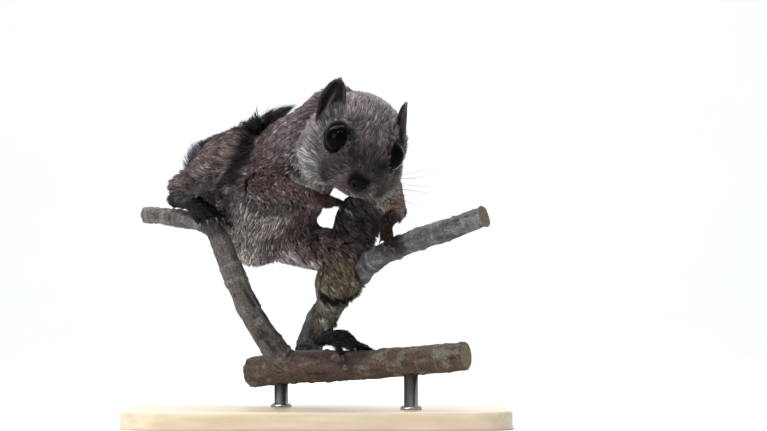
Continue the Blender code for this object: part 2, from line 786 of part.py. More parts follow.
def laid_digit(branch, base, toward, wrap, thick):
    """A digit that leaves its base and bends round a branch, ending on the bark."""
    goal = base + toward
    halfway = base.lerp(goal, 0.55)
    laid = []
    for point, turn, rise in ((halfway, wrap * 0.35, thick * 1.5), (goal, wrap, thick * 0.75)):
        centre, ahead, radius = nearest_on(branch, point)
        along = (point - centre).dot(ahead)
        out = (point - centre - ahead * along).normalized()
        laid.append(centre + Matrix.Rotation(turn, 3, ahead) @ out * (radius + rise) + ahead * along)
    return digit(base, *laid, thick)


def free_digit(base, toward, up, thick):
    """A digit that grips nothing and curls a little."""
    return digit(base, base + toward * 0.55 + up * 0.3, base + toward - up * toward.length * 0.3, thick)


def paw(name, digits, branch, finish_name, neighbours):
    """A hand or foot: a sole from wrist to knuckles and a spread of digits laid on a branch."""
    wrist, along, up, length, width = PAWS[name]
    wrist, along, up = Vector(wrist), Vector(along).normalized(), Vector(up)
    up = (up - along * up.dot(along)).normalized()
    across = up.cross(along)
    turn = Matrix((along, across, up)).transposed()
    palm = length * PALM_SHARE
    pads = []
    for place_on, wide in ((0.08, 0.60), (0.40, 0.72), (0.72, 0.92)):
        pads.append(ball(wrist + along * palm * place_on, (palm * 0.34, width * wide, width * 0.6), turn, 2))
    sole = blended("sole", pads, SOLE_TRIANGLES, grain=0.5, rounds=3)
    thick = width * DIGIT_THICKNESS
    parts = []
    for offset, share, wrap in digits:
        base = wrist + along * palm * 0.84 + across * offset * width * 0.76
        toward = (along + across * offset * 0.42).normalized() * length * share
        if branch:
            parts += laid_digit(branch, base, toward, wrap, thick)
        else:
            parts += free_digit(base, toward, up, thick)
    boolean(sole, [place("digit", mesh) for mesh in parts], "UNION")
    return finish(cut_clear(sole, neighbours), name, finish_name)


def build_branch(name, knots, cut_by):
    """A length of branch: a rough tube with slight swellings, cut square at its free end."""
    draw = random.Random(name)
    lengths = np.linalg.norm(np.diff([knot[0] for knot in knots], axis=0), axis=1)
    count = int(lengths.sum() / BRANCH_STEP) + 2
    rows = branch_surface(knots, count)
    swell = [row[3] + KNOT_RISE * draw.uniform(-1, 1) for row in rows]
    mesh = tube(rows[:, :3], swell, swell, sides=BRANCH_SIDES, side=(0.3, -0.5, 0.8), rough=0.04, draw=draw)
    branch = keep_largest(place(name, mesh))
    return finish(cut_clear(branch, cut_by), name, "bark")


def build_perch():
    """The forked perch: the main limb and the two branches that rise from it."""
    limb = build_branch("perch_limb", LIMB, [])
    left = build_branch("perch_branch_left", BRANCH_LEFT, [limb])
    right = build_branch("perch_branch_right", BRANCH_RIGHT, [limb, left])
    return [limb, left, right]


def on_rim(edge):
    """Whether an edge runs round the plate's top or underside."""
    low, high = sorted(vert.co.z for vert in edge.verts)
    return high - low < 0.1 * MM and any(abs(face.normal.z) > 0.5 for face in edge.link_faces)


def build_stand(limb):
    """The flat base and the two rods up to the limb's underside."""
    work = bmesh.new()
    bmesh.ops.create_cube(work, size=1.0)
    bmesh.ops.scale(work, vec=[size * MM for size in BASE_SIZE], verts=work.verts)
    bmesh.ops.translate(work, vec=(0, 0, BASE_SIZE[2] / 2 * MM), verts=work.verts)
    corners = [edge for edge in work.edges if not on_rim(edge)]
    bmesh.ops.bevel(work, geom=corners, offset=BASE_CORNER * MM, segments=6, affect="EDGES", profile=0.5)
    rims = [edge for edge in work.edges if on_rim(edge)]
    bmesh.ops.bevel(work, geom=rims, offset=BASE_EDGE * MM, segments=2, affect="EDGES", profile=0.5)
    mesh = bpy.data.meshes.new("stand_base")
    work.to_mesh(mesh)
    work.free()
    finish(keep_largest(place("stand_base", mesh)), "stand_base", "stand_wood", smooth=False)
    foot = BASE_SIZE[2] + ROD_GAP
    for name, (x, y) in ROD_FEET.items():
        centre = [(x, y, foot + ROD_LENGTH * share) for share in (0.0, 0.5, 1.0)]
        rod = place(name, tube(centre, ROD_RADIUS, ROD_RADIUS, ROD_SIDES))
        boolean(rod, [grown(limb)], "DIFFERENCE")
        finish(rod, name, "rod_steel")


def lock(path, side):
    """A flat tapered lock of tail hair along a path, as a four-sided tube."""
    widths = [LOCK_WIDTH * f for f in (0.8, 1.1, 0.75, 0.08)]
    depths = [LOCK_DEPTH * f for f in (0.9, 1.0, 0.7, 0.12)]
    return tube(path, widths, depths, sides=4, side=tuple(side))


def tail_lock(rows, frames, place_on, side, draw):
    """One lock of the tail's fringe, which leaves to a side and bends back along the tail's own line."""
    tangents, across, above = frames
    spacing = np.linalg.norm(np.diff(rows, axis=0), axis=1).mean()
    sweep = (LOCK_SWEEP[0] + (LOCK_SWEEP[1] - LOCK_SWEEP[0]) * place_on) * draw.uniform(0.9, 1.1)
    reach = LOCK_REACH * min(1.0, 0.5 + 4.0 * place_on) * (1.0 - max(0.0, place_on - 0.7))
    lift = draw.uniform(-0.8, 0.8)
    path = []
    for t, out in ((0.0, 0.0), (0.35, 0.48), (0.7, 0.82), (1.0, 1.0)):
        at = place_on * (len(rows) - 1) + sweep * t / spacing
        i = min(int(at), len(rows) - 1)
        point = rows[i] + tangents[i] * spacing * (at - i)
        path.append(point + across[i] * side * (1.4 + reach * out) + above[i] * lift * t)
    i = int(place_on * (len(rows) - 1))
    return lock(path, tangents[i])


def build_tail(neighbours):
    """The tail: a flattened core with locks combed out to both sides, parted in three lengths."""
    rows = curve_through(TAIL_PATH, 61)
    steps = np.linspace(0, 1, len(rows))
    flat = np.outer(1 - steps, TAIL_ACROSS[0]) + np.outer(steps, TAIL_ACROSS[1])
    frames = frames_along(rows, flat)
    tangents, across, above = frames
    draw = random.Random(SEED)
    picked = np.arange(0, len(rows), 4)
    taper = np.minimum(1.0, 0.72 + 1.9 * steps[picked]) * (1.0 - np.maximum(0.0, steps[picked] - 0.55))
    core = tube(rows[picked], TAIL_HALF_WIDTH * taper, TAIL_HALF_DEPTH * taper, 10, tuple(across[0]))
    locks = []
    for k in range(LOCKS_A_SIDE):
        for side in (-1, 1):
            place_on = LOCKS_FROM + (1 - LOCKS_FROM) * (k + 0.5 + 0.22 * side) / LOCKS_A_SIDE
            locks.append(tail_lock(rows, frames, place_on, side, draw))
    for turn in TIP_LOCK_TURNS:
        root = rows[-1] - tangents[-1] * 2.5
        way = tangents[-1] + across[-1] * turn
        locks.append(lock([root + way * LOCK_SWEEP[1] * t for t in (0.0, 0.35, 0.7, 1.0)], across[-1]))
    tail = place("tail", core)
    boolean(tail, [place("lock", mesh) for mesh in locks], "UNION", "MANIFOLD")
    cut_clear(tail, neighbours)
    nodes = []
    for n, cut_at in enumerate(TAIL_CUTS):
        i = int(cut_at * (len(rows) - 1))
        near, tail = parted(tail, (TAIL_NODE_NAMES[n], "rest"), rows[i], tangents[i])
        nodes.append(near)
    nodes.append(tail)
    return [finish(node, name, "coat_tail") for node, name in zip(nodes, TAIL_NODE_NAMES)]


def build_membrane(side, neighbours):
    """A gliding membrane, slack and rippled: a thin rounded strip from its root line to its edge."""
    name = f"membrane_{side}"
    roots = curve_through(MEMBRANE_ROOTS[side], MEMBRANE_STATIONS)
    edges = curve_through(MEMBRANE_EDGES[side], MEMBRANE_STATIONS)
    along = np.gradient((roots + edges) / 2, axis=0)
    normals = np.cross(along, edges - roots)
    normals /= np.linalg.norm(normals, axis=1, keepdims=True)
    points = []
    for i in range(MEMBRANE_STATIONS):
        taper = min(1.0, 0.45 + 2.5 * min(i, MEMBRANE_STATIONS - 1 - i) / MEMBRANE_STATIONS)
        sway = MEMBRANE_RIPPLE * math.sin(1.9 * i)
        for out, depth in MEMBRANE_SECTION:
            middle = roots[i] + (edges[i] - roots[i]) * out
            points.append(middle + normals[i] * (depth * MEMBRANE_HALF_DEPTH * taper + sway * max(0.0, out)))
    size = len(MEMBRANE_SECTION)
    faces = [tuple(range(size)), tuple(range((MEMBRANE_STATIONS - 1) * size, MEMBRANE_STATIONS * size))]
    for i in range(MEMBRANE_STATIONS - 1):
        for k in range(size):
            near, far = i * size + k, i * size + (k + 1) % size
            faces.append((near, far, far + size, near + size))
    membrane = keep_largest(place(name, mesh_of(points, faces)))
    return finish(cut_clear(membrane, neighbours), name, "coat_membrane")


def build_legs(trunk, perch):
    """Both hind legs, each a thigh and a shank."""
    made = []
    for side, joints in LEGS.items():
        names = (f"thigh_{side}", f"shank_{side}")
        for piece, name in zip(limb_pieces(joints, names, MUSCLE["leg"], LEG_TRIANGLES), names):
            made.append(finish(cut_clear(piece, trunk + perch), name, "coat_limb"))
    return made


def build_arms(body, perch):
    """Both forelegs, each an upper arm and a forearm."""
    made = []
    for side, joints in ARMS.items():
        names = (f"upper_arm_{side}", f"forearm_{side}")
        for piece, name in zip(limb_pieces(joints, names, MUSCLE["arm"], ARM_TRIANGLES), names):
            made.append(finish(cut_clear(piece, body + perch), name, "coat_limb"))
    return made


def build_paws(head, limbs, perch):
    """The hands and the feet, each laid on what it grips."""
    limb = {piece.name: piece for piece in limbs}
    arms = {side: limb[f"forearm_{side}"] for side in ARMS}
    shanks = {side: limb[f"shank_{side}"] for side in LEGS}
    return [
        paw("hand_right", FINGERS, None, "skin_hand", [arms["right"], head, *perch]),
        paw("hand_left", FINGERS, BRANCH_RIGHT, "skin_hand", [arms["left"], *perch]),
        paw("foot_right", TOES, BRANCH_LEFT, "skin_foot", [shanks["right"], limb["thigh_right"], *perch]),
        paw("foot_left", TOES, LIMB, "skin_foot", [shanks["left"], *perch]),
    ]


def main():
    """Builds the whole model, from the perch up to the membranes that are cut clear of the rest."""
    clear_scene()
    perch = build_perch()
    build_stand(perch[0])
    head = build_head()
    build_nose(head)
    for side, name in ((-1, "ear_right"), (1, "ear_left")):
        build_ear(side, name, head)
    trunk = build_trunk(head)
    legs = build_legs(trunk, perch)
    arms = build_arms([head, *trunk, *legs], perch)
    paws = build_paws(head, legs + arms, perch)
    body = [head, *trunk, *legs, *arms]
    tail = build_tail(body)
    for side in ("right", "left"):
        build_membrane(side, body + paws + perch + tail)


main()
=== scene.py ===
# %% [markdown]
# This lesson dresses a life-size model of a flying squirrel that crouches on a forked branch.
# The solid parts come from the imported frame, in metres with Z up, and nothing here moves or
# resizes them. One skin takes the place of the flesh, thousands of small solid tufts make the
# coat, and bark, glossy eyes, claws, whiskers and a plain stand finish the model.

# %% Frame
import math

import bmesh
import bpy
import numpy as np
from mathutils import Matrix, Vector
from mathutils.kdtree import KDTree


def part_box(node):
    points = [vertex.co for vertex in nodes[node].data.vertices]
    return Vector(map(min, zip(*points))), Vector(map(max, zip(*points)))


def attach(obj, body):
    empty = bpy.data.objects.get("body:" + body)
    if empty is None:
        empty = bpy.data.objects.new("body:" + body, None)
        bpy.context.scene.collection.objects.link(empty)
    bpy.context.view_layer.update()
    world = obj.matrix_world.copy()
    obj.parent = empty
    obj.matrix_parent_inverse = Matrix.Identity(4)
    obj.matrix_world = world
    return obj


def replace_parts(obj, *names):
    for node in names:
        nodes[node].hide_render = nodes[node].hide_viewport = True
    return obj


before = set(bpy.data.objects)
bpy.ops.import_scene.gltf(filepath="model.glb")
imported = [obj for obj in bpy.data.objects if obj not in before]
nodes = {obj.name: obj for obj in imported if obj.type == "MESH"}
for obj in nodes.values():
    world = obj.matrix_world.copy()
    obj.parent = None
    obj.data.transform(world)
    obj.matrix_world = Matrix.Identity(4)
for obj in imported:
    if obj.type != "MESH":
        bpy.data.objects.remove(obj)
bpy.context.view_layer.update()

MM = 0.001

# %% [markdown]
# Every surface below is a grid of points worked out as whole arrays. Three helpers turn such
# arrays into Blender meshes: one lists the faces of a grid, one makes the object and lets it
# ride on the frame's only body, and one reads a mesh back into arrays.

# %% Mesh helpers
def grid_faces(rows, columns, around=True):
    """The four corners of each cell of a grid of rows by columns, closed round its columns if asked."""
    row = np.arange(rows - 1)[:, None] * columns
    column = np.arange(columns if around else columns - 1)[None, :]
    after = (column + 1) % columns
    corners = [row + column, row + after, row + columns + after, row + columns + column]
    return np.stack(corners, axis=-1).reshape(-1, 4)


def piece(name, points, faces, material):
    """An object from points in millimetres and lists of faces, each list with one number of corners."""
    lists = faces if isinstance(faces, list) else [faces]
    mesh = bpy.data.meshes.new(name)
    mesh.vertices.add(len(points))
    mesh.vertices.foreach_set("co", (np.asarray(points) * MM).astype(np.float32).ravel())
    corners = np.concatenate([np.asarray(group).ravel() for group in lists])
    sizes = np.concatenate([np.full(len(group), np.asarray(group).shape[1]) for group in lists])
    mesh.loops.add(len(corners))
    mesh.loops.foreach_set("vertex_index", corners.astype(np.int32))
    mesh.polygons.add(len(sizes))
    mesh.polygons.foreach_set("loop_start", (np.cumsum(sizes) - sizes).astype(np.int32))
    mesh.polygons.foreach_set("use_smooth", np.ones(len(sizes), bool))
    mesh.update(calc_edges=True)
    mesh.materials.append(material)
    made = bpy.data.objects.new(name, mesh)
    bpy.context.scene.collection.objects.link(made)
    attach(made, "root")
    return made


def read(items, key, width, kind=np.float32):
    """One property of all a mesh's points, edges or faces as an array with that many columns."""
    flat = np.zeros(len(items) * width, kind)
    items.foreach_get(key, flat)
    return flat.reshape(-1, width)


def points_of(mesh):
    """A mesh's points in millimetres."""
    return read(mesh.vertices, "co", 3).astype(float) / MM


def middle_of(name):
    """The middle of a node's box, in millimetres."""
    low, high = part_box(name)
    return np.array((low + high) / 2) / MM


print("eyes at", middle_of("eye_right").round(1), middle_of("eye_left").round(1))

# %% [markdown]
# Shapes and markings need a few pieces of arithmetic. A smooth curve through knots carries the
# branches, the tail and the whiskers. Directions are brought to length one. A lattice of seeded
# random numbers, blended between its corners, gives soft noise with a real size in millimetres.

# %% Arithmetic helpers
NOISE_TABLE, NOISE_PRIMES = 4096, (73856093, 19349663, 83492791)


def unit(vectors):
    """Vectors divided by their length."""
    vectors = np.asarray(vectors, float)
    return vectors / np.maximum(np.linalg.norm(vectors, axis=-1, keepdims=True), 1e-9)


def smooth_curve(knots, count):
    """Points on a Catmull-Rom curve: between two knots, a cubic whose slopes come from their neighbours."""
    knots = np.asarray(knots, float)
    ends = np.vstack([2 * knots[0] - knots[1], knots, 2 * knots[-1] - knots[-2]])
    place = np.linspace(0, len(knots) - 1, count)
    span = np.minimum(place.astype(int), len(knots) - 2)
    t = (place - span)[:, None]
    a, b, c, d = (ends[span + k] for k in range(4))
    return 0.5 * (2 * b + (c - a) * t + (2 * a - 5 * b + 4 * c - d) * t**2 + (3 * b - a - 3 * c + d) * t**3)


def frames_on(path, side):
    """Tangents, sides and normals along a path: the side is the given one, made square to the path."""
    tangent = unit(np.gradient(path, axis=0))
    side = np.broadcast_to(np.asarray(side, float), path.shape)
    across = unit(side - (side * tangent).sum(axis=1, keepdims=True) * tangent)
    return tangent, across, np.cross(tangent, across)


def noise(points, size, seed):
    """Soft noise from -1 to 1: random numbers on a lattice of that size, blended between its corners."""
    table = np.random.default_rng(seed).uniform(-1, 1, NOISE_TABLE)
    scaled = np.asarray(points, float) / size
    cell = np.floor(scaled).astype(np.int64)
    share = scaled - cell
    share = share * share * (3 - 2 * share)
    total = np.zeros(len(scaled))
    for corner in np.ndindex(2, 2, 2):
        at = cell + np.array(corner)
        key = np.bitwise_xor.reduce(at * NOISE_PRIMES, axis=1)
        weight = np.prod(np.where(np.array(corner) == 1, share, 1 - share), axis=1)
        total += weight * table[key % NOISE_TABLE]
    return total


def blend(low, high, value):
    """A smooth step: 0 below the first number, 1 above the second, with no corner between."""
    t = np.clip((np.asarray(value, float) - low) / (high - low), 0, 1)
    return t * t * (3 - 2 * t)


def mixed(first, second, share):
    """Two values or colours mixed: the share is how much the second one gives."""
    return first * (1 - share) + second * share


def turns(count):
    """Angles evenly spread over one full turn, the last short of the first."""
    return np.linspace(0, math.tau, count, endpoint=False)


print("noise goes down to", noise(np.random.default_rng(1).uniform(0, 90, (2000, 3)), 5.0, 3).round(2).min())

# %% [markdown]
# A material starts from what the real thing is. Colours are written as sRGB hex and turned to
# linear light by one function. One more function adds a shader node with its settings and links,
# and a third builds on it: nearly every surface below is a pattern of a real size that gives or
# shades the colour, and may dent the surface as a bump.

# %% Material helpers
def levels(colour):
    """An sRGB hex colour as its red, green and blue levels from 0 to 1."""
    return np.array([int(colour[i : i + 2], 16) / 255 for i in (1, 3, 5)])


def linear(colour):
    """A colour in linear light, from sRGB hex or from arrays of sRGB levels."""
    level = levels(colour) if isinstance(colour, str) else np.clip(colour, 0, 1)
    return np.where(level > 0.04045, ((level + 0.055) / 1.055) ** 2.4, level / 12.92)


def material(name, roughness, ior=1.5, metallic=0.0):
    """A new material, its node tree and its Principled shader."""
    made = bpy.data.materials.new(name)
    made.use_nodes = True
    shader = made.node_tree.nodes["Principled BSDF"]
    shader.inputs["Roughness"].default_value = roughness
    shader.inputs["IOR"].default_value = ior
    shader.inputs["Metallic"].default_value = metallic
    return made, made.node_tree, shader


def add(tree, kind, settings=(), inputs=(), links=(), stops=()):
    """Adds a node: its properties, its socket values, the sockets that feed it and its colour stops."""
    made = tree.nodes.new(kind)
    for key, value in dict(settings).items():
        setattr(made, key, value)
    for key, value in dict(inputs).items():
        made.inputs[key].default_value = value
    for key, socket in dict(links).items():
        tree.links.new(socket, made.inputs[key])
    for number, (place, colour) in enumerate(stops):
        ends = made.color_ramp.elements
        stop = ends[number] if number < 2 else ends.new(place)
        stop.position = place
        stop.color = (*linear(colour), 1.0)
    return made


def patterned(
    name, roughness, ior, grain, stops, own_colour=False, bump=None, detail=2.0, rough=0.5, specular=0.5,
    metallic=0.0, pebbled=False, stretch=None,
):
    """A material with noise or pebbles of a size in mm, which give the colour or shade the piece's own."""
    made, tree, shader = material(name, roughness, ior, metallic)
    place = add(tree, "ShaderNodeTexCoord").outputs["Object"]
    if stretch:
        mapping = add(tree, "ShaderNodeMapping", inputs={"Scale": stretch}, links={"Vector": place})
        place = mapping.outputs["Vector"]
    sizes = {"Scale": 1 / (grain * MM)}
    if pebbled:
        height = add(tree, "ShaderNodeTexVoronoi", inputs=sizes, links={"Vector": place}).outputs["Distance"]
    else:
        sizes |= {"Detail": detail, "Roughness": rough}
        height = add(tree, "ShaderNodeTexNoise", inputs=sizes, links={"Vector": place}).outputs["Fac"]
    colour = add(tree, "ShaderNodeValToRGB", links={"Fac": height}, stops=stops).outputs["Color"]
    if own_colour:
        painted = add(tree, "ShaderNodeAttribute", {"attribute_name": "Coat"}).outputs["Color"]
        both = {"Color1": painted, "Color2": colour}
        mix = add(tree, "ShaderNodeMixRGB", {"blend_type": "MULTIPLY"}, {"Fac": 1.0}, both)
        colour = mix.outputs["Color"]
    tree.links.new(colour, shader.inputs["Base Color"])
    if bump:
        sizes = {"Strength": bump[0], "Distance": bump[1] * MM}
        dents = add(tree, "ShaderNodeBump", {"invert": pebbled}, sizes, {"Height": height})
        tree.links.new(dents.outputs["Normal"], shader.inputs["Normal"])
    shader.inputs["Specular IOR Level"].default_value = specular
    return made


# %% [markdown]
# The room is a plain pale floor that curves up into a backdrop, so that no horizon shows. It is
# stage, and not part of the model. A broad soft light hangs above and a little behind, as the
# open sky does over a tree, a second one fills from the front left, and the world adds the rest.
# Two small lamps in front do little more than put the two points of light in the eyes, and one
# that faces away from the model lights the backdrop.

# %% Floor, lights and camera
FLOOR_FRONT, FLOOR_BACK, FLOOR_HALF_WIDTH = -2200.0, 1900.0, 2600.0
SWEEP_RADIUS, WALL_TOP = 900.0, 2600.0

turn = np.linspace(0, math.pi / 2, 17)
profile_y = FLOOR_BACK + SWEEP_RADIUS * np.append(np.sin(turn), 1)
profile_y = np.append(FLOOR_FRONT, profile_y)
profile_z = np.concatenate([[0.0], SWEEP_RADIUS * (1 - np.cos(turn)), [WALL_TOP]])
sheet = [(side, y, z) for y, z in zip(profile_y, profile_z) for side in (-FLOOR_HALF_WIDTH, FLOOR_HALF_WIDTH)]

# Matt studio paper: even, pale and without gloss
paper = patterned("backdrop_paper", 0.9, 1.5, 130.0, [(0.0, "#DCDFE2"), (1.0, "#E1E4E6")], detail=3.0)

floor = piece("floor_and_backdrop", sheet, grid_faces(len(profile_y), 2, around=False)[:, ::-1], paper)


def soft_light(name, place, aim, size, watts):
    """A square area light at a place in millimetres, turned to its aim."""
    light = bpy.data.lights.new(name, "AREA")
    light.size, light.energy = size * MM, watts
    made = bpy.data.objects.new(name, light)
    bpy.context.scene.collection.objects.link(made)
    made.location = Vector(place) * MM
    made.rotation_euler = (Vector(aim) - Vector(place)).to_track_quat("-Z", "Y").to_euler()


# Each lamp's place, its aim and its size in millimetres, and its watts
LAMPS = {
    "sky_light": ((-150, 350, 900), (0, 0, 60), 900, 13.0),
    "front_left_fill": ((-700, -700, 420), (0, -20, 80), 600, 6.0),
    "backdrop_light": ((0, 1100, 1500), (0, 2400, 700), 1400, 31.0),
    "catch_light_near": ((-250, -780, 1010), (8, -60, 93), 170, 3.0),
    "catch_light_far": ((190, -760, 1040), (8, -60, 93), 120, 1.3),
}
for name, about in LAMPS.items():
    soft_light(name, *about)

# Even light from all round, as from a pale room
SKY_COLOUR, SKY_STRENGTH = "#E9F0F6", 0.62
world = bpy.data.worlds.new("studio")
world.use_nodes = True
world.node_tree.nodes["Background"].inputs["Color"].default_value = (*linear(SKY_COLOUR), 1.0)
world.node_tree.nodes["Background"].inputs["Strength"].default_value = SKY_STRENGTH
bpy.context.scene.world = world
bpy.context.scene.view_settings.view_transform = "Standard"

# The main view's camera: far off with a long lens, and nearly level
CAMERA_PLACE = (21.9, -1054.4, 34.1)
CAMERA_RISE = 2.0
LENS_MM, SENSOR_MM = 146.68, 36.0
camera = bpy.data.objects.new("camera", bpy.data.cameras.new("camera"))
bpy.context.scene.collection.objects.link(camera)
camera.location = Vector(CAMERA_PLACE) * MM
camera.rotation_euler = (math.radians(90 + CAMERA_RISE), 0, 0)
camera.data.lens, camera.data.sensor_width = LENS_MM, SENSOR_MM
camera.data.clip_start = 0.05
bpy.context.scene.camera = camera

# %% [markdown]
# Much of the animal is placed in the head's own frame: forward to the nose, left to the animal's
# own left, and up. The frame is read from the solids, since the line between the eyes gives the
# left, and the line from between the eyes to the nose gives the way forward once the drop of the
# nose is taken out.

# %% The head's frame
NOSE_DROP = 25.66
eye_right_middle, eye_left_middle = middle_of("eye_right"), middle_of("eye_left")
between_eyes = (eye_right_middle + eye_left_middle) / 2
nose_middle = middle_of("nose")
head_left = unit(eye_left_middle - eye_right_middle)
toward_nose = nose_middle - between_eyes
toward_nose = unit(toward_nose - head_left * (toward_nose @ head_left))
drop = math.radians(NOSE_DROP)
up_from_nose = np.cross(toward_nose, head_left)
head_forward = toward_nose * math.cos(drop) + up_from_nose * math.sin(drop)
head_up = np.cross(head_forward, head_left)
print("forward", head_forward.round(2), "left", head_left.round(2), "up", head_up.round(2))

# %% [markdown]
# The flesh of the solids is divided into nodes with thin gaps between them, as parts of a model
# kit are. A real animal has one skin, so the nodes are copied, pushed outwards until the gaps
# close, and wrapped in one new surface of small even cells. The tail gets a slim core along its
# own line, because its bush is all hair. The part's own sizes for that line are repeated here.

# %% The flesh in one mesh
SIDES = {"right": -1, "left": 1}
TRUNK = ["neck", "torso_front", "torso_rear"]
LIMBS = [f"{part}_{side}" for part in ("upper_arm", "forearm", "thigh", "shank") for side in SIDES]
PAWS = [f"{part}_{side}" for part in ("hand", "foot") for side in SIDES]
MEMBRANES = [f"membrane_{side}" for side in SIDES]
FLESH = ["head", *TRUNK, *LIMBS, *PAWS, *MEMBRANES]
TAIL_NODES = ["tail_base", "tail_middle", "tail_tip"]

TAIL_KNOTS = (
    (-25.5, 38.5, 64.0), (-31.5, 46.0, 68.5), (-37.5, 47.0, 78.0), (-39.0, 40.0, 87.5),
    (-34.0, 28.0, 94.5), (-27.5, 16.0, 98.0), (-23.0, 8.0, 100.5), (-19.0, 1.0, 103.0),
)
TAIL_ACROSS = ((0.80, -0.05, -0.60), (0.85, 0.0, 0.40))
TAIL_CORE_WIDTH, TAIL_CORE_DEPTH = 3.4, 2.3
TAIL_STEPS, TAIL_SIDES = 60, 20
TAIL_NARROWS, TAIL_NARROWS_BY, TAIL_END_ROUND = 0.75, 1.6, 12
SEAM_GROWTH, PAW_GROWTH, SAME_POINT = 0.28, 0.04, 0.002
SKIN_CELL = 0.6


def tail_line(count):
    """The tail's centreline with its tangents, sides and normals. The side turns evenly from root to tip."""
    path = smooth_curve(TAIL_KNOTS, count)
    share = np.linspace(0, 1, count)[:, None]
    return path, *frames_on(path, mixed(*np.array(TAIL_ACROSS), share))


def tail_core():
    """An elliptic tube round the tail's line, which narrows to the tip: points and faces."""
    path, _, across, above = tail_line(TAIL_STEPS)
    share = np.linspace(0, 1, TAIL_STEPS)
    girth = (1 - TAIL_NARROWS * share**TAIL_NARROWS_BY) * np.sqrt(np.clip(1 - share**TAIL_END_ROUND, 0.02, 1))
    girth, turn = girth[:, None, None], turns(TAIL_SIDES)[None, :, None]
    wide = across[:, None] * (girth * TAIL_CORE_WIDTH * np.cos(turn))
    deep = above[:, None] * (girth * TAIL_CORE_DEPTH * np.sin(turn))
    return (path[:, None] + wide + deep).reshape(-1, 3), grid_faces(TAIL_STEPS, TAIL_SIDES)


def grown_nodes(names, growth):
    """Copies of some nodes in one mesh, each point pushed out along its normal."""
    work = bmesh.new()
    for name in names:
        work.from_mesh(nodes[name].data)
    bmesh.ops.remove_doubles(work, verts=work.verts, dist=SAME_POINT * MM)
    work.normal_update()
    mesh = bpy.data.meshes.new("grown")
    work.to_mesh(mesh)
    work.free()
    grown = points_of(mesh) + read(mesh.vertex_normals, "vector", 3) * growth
    mesh.vertices.foreach_set("co", (grown * MM).astype(np.float32).ravel())
    return mesh


def flesh_mesh():
    """The flesh with its gaps closed, and the tail. The paws hardly swell, so their digits stay apart."""
    mesh = grown_nodes([name for name in FLESH if name not in PAWS], SEAM_GROWTH)
    paws = grown_nodes(PAWS, PAW_GROWTH)
    core_points, core_faces = tail_core()
    caps = [list(range(TAIL_SIDES))[::-1], list(range(len(core_points) - TAIL_SIDES, len(core_points)))]
    core = bpy.data.meshes.new("core")
    core.from_pydata((core_points * MM).tolist(), [], core_faces.tolist() + caps)
    work = bmesh.new()
    for source in (mesh, paws, core):
        work.from_mesh(source)
    work.to_mesh(mesh)
    work.free()
    bpy.data.meshes.remove(paws)
    bpy.data.meshes.remove(core)
    return mesh


def rewrapped(mesh, cell):
    """The mesh wrapped in a closed surface of even cells, by the voxel remesh modifier."""
    thing = bpy.data.objects.new("wrap", mesh)
    bpy.context.scene.collection.objects.link(thing)
    step = thing.modifiers.new("wrap", "REMESH")
    step.mode, step.voxel_size = "VOXEL", cell * MM
    made = bpy.data.meshes.new_from_object(thing.evaluated_get(bpy.context.evaluated_depsgraph_get()))
    bpy.data.objects.remove(thing)
    return made


skin_mesh = rewrapped(flesh_mesh(), SKIN_CELL)
print("skin cells", len(skin_mesh.polygons))

# %% [markdown]
# The wrapped surface is read into arrays, because everything that follows is worked out for all
# its points at once. Each point learns which node it came from, so that the depth of the coat,
# the length of the hair and its direction can differ from part to part. Drawing each point's
# value towards its neighbours' mean makes all of these change smoothly across the joints.

# %% Arrays of the skin
skin = points_of(skin_mesh)
skin_faces = read(skin_mesh.loops, "vertex_index", 1, np.int32).reshape(-1, 4)
skin_edges = read(skin_mesh.edges, "vertices", 2, np.int32)
skin_degree = np.bincount(skin_edges.ravel(), minlength=len(skin))


def eased(values, rounds, share=0.5):
    """Values drawn towards their neighbours' mean on the skin, a number of times."""
    columns = np.asarray(values, float).reshape(len(skin), -1).copy()
    start, end = skin_edges.T
    for _ in range(rounds):
        for column in columns.T:
            near = np.bincount(start, column[end], len(skin)) + np.bincount(end, column[start], len(skin))
            column += (near / skin_degree - column) * share
    return columns.reshape(np.shape(values))


def diagonals_crossed(points, faces):
    """The cross product of each face's diagonals: along its normal, and twice its area long."""
    a, b, c, d = (points[faces[:, corner]] for corner in range(4))
    return np.cross(c - a, d - b)


def normals_of(points, faces):
    """Each point's normal: the mean of its faces' normals, each as strong as its face is large."""
    across = diagonals_crossed(points, faces)
    total = np.zeros_like(points)
    for axis in range(3):
        for corner in range(4):
            total[:, axis] += np.bincount(faces[:, corner], across[:, axis], len(points))
    return unit(total)


def samples_of(mesh):
    """A mesh's points and the middles of its faces, in millimetres."""
    return np.vstack([points_of(mesh), read(mesh.polygons, "center", 3) / MM])


def nearest(points, places):
    """For each point the number of the nearest place."""
    finder = KDTree(len(places))
    for number, place in enumerate(places):
        finder.insert(place, number)
    finder.balance()
    return np.array([finder.find(point)[1] for point in points])


PARTS = [*FLESH, "tail"]
part_samples = [samples_of(nodes[name].data) for name in FLESH] + [smooth_curve(TAIL_KNOTS[1:], 90)]
sample_part = np.repeat(np.arange(len(PARTS)), [len(samples) for samples in part_samples])
skin_part = sample_part[nearest(skin, np.vstack(part_samples))]


def sideless(name):
    """A name without its side."""
    return name.removesuffix("_right").removesuffix("_left")


def of_parts(values, rounds):
    """A value for each skin point from the table of the parts by name, made smooth across the joints."""
    table = np.array([values[sideless(part)] for part in PARTS], float)
    return eased(table[skin_part], rounds)


for part, number in zip(PARTS, np.bincount(skin_part, minlength=len(PARTS))):
    print(f"{part} {number}", end=", ")

# %% [markdown]
# The tips of a solid paw's digits are found as the points that lie further from the middle of the
# forearm or shank than all others near them. The skin draws back there, to leave room for
# claws of horn, and a tip's own axis runs to it from the middle of the points round it.

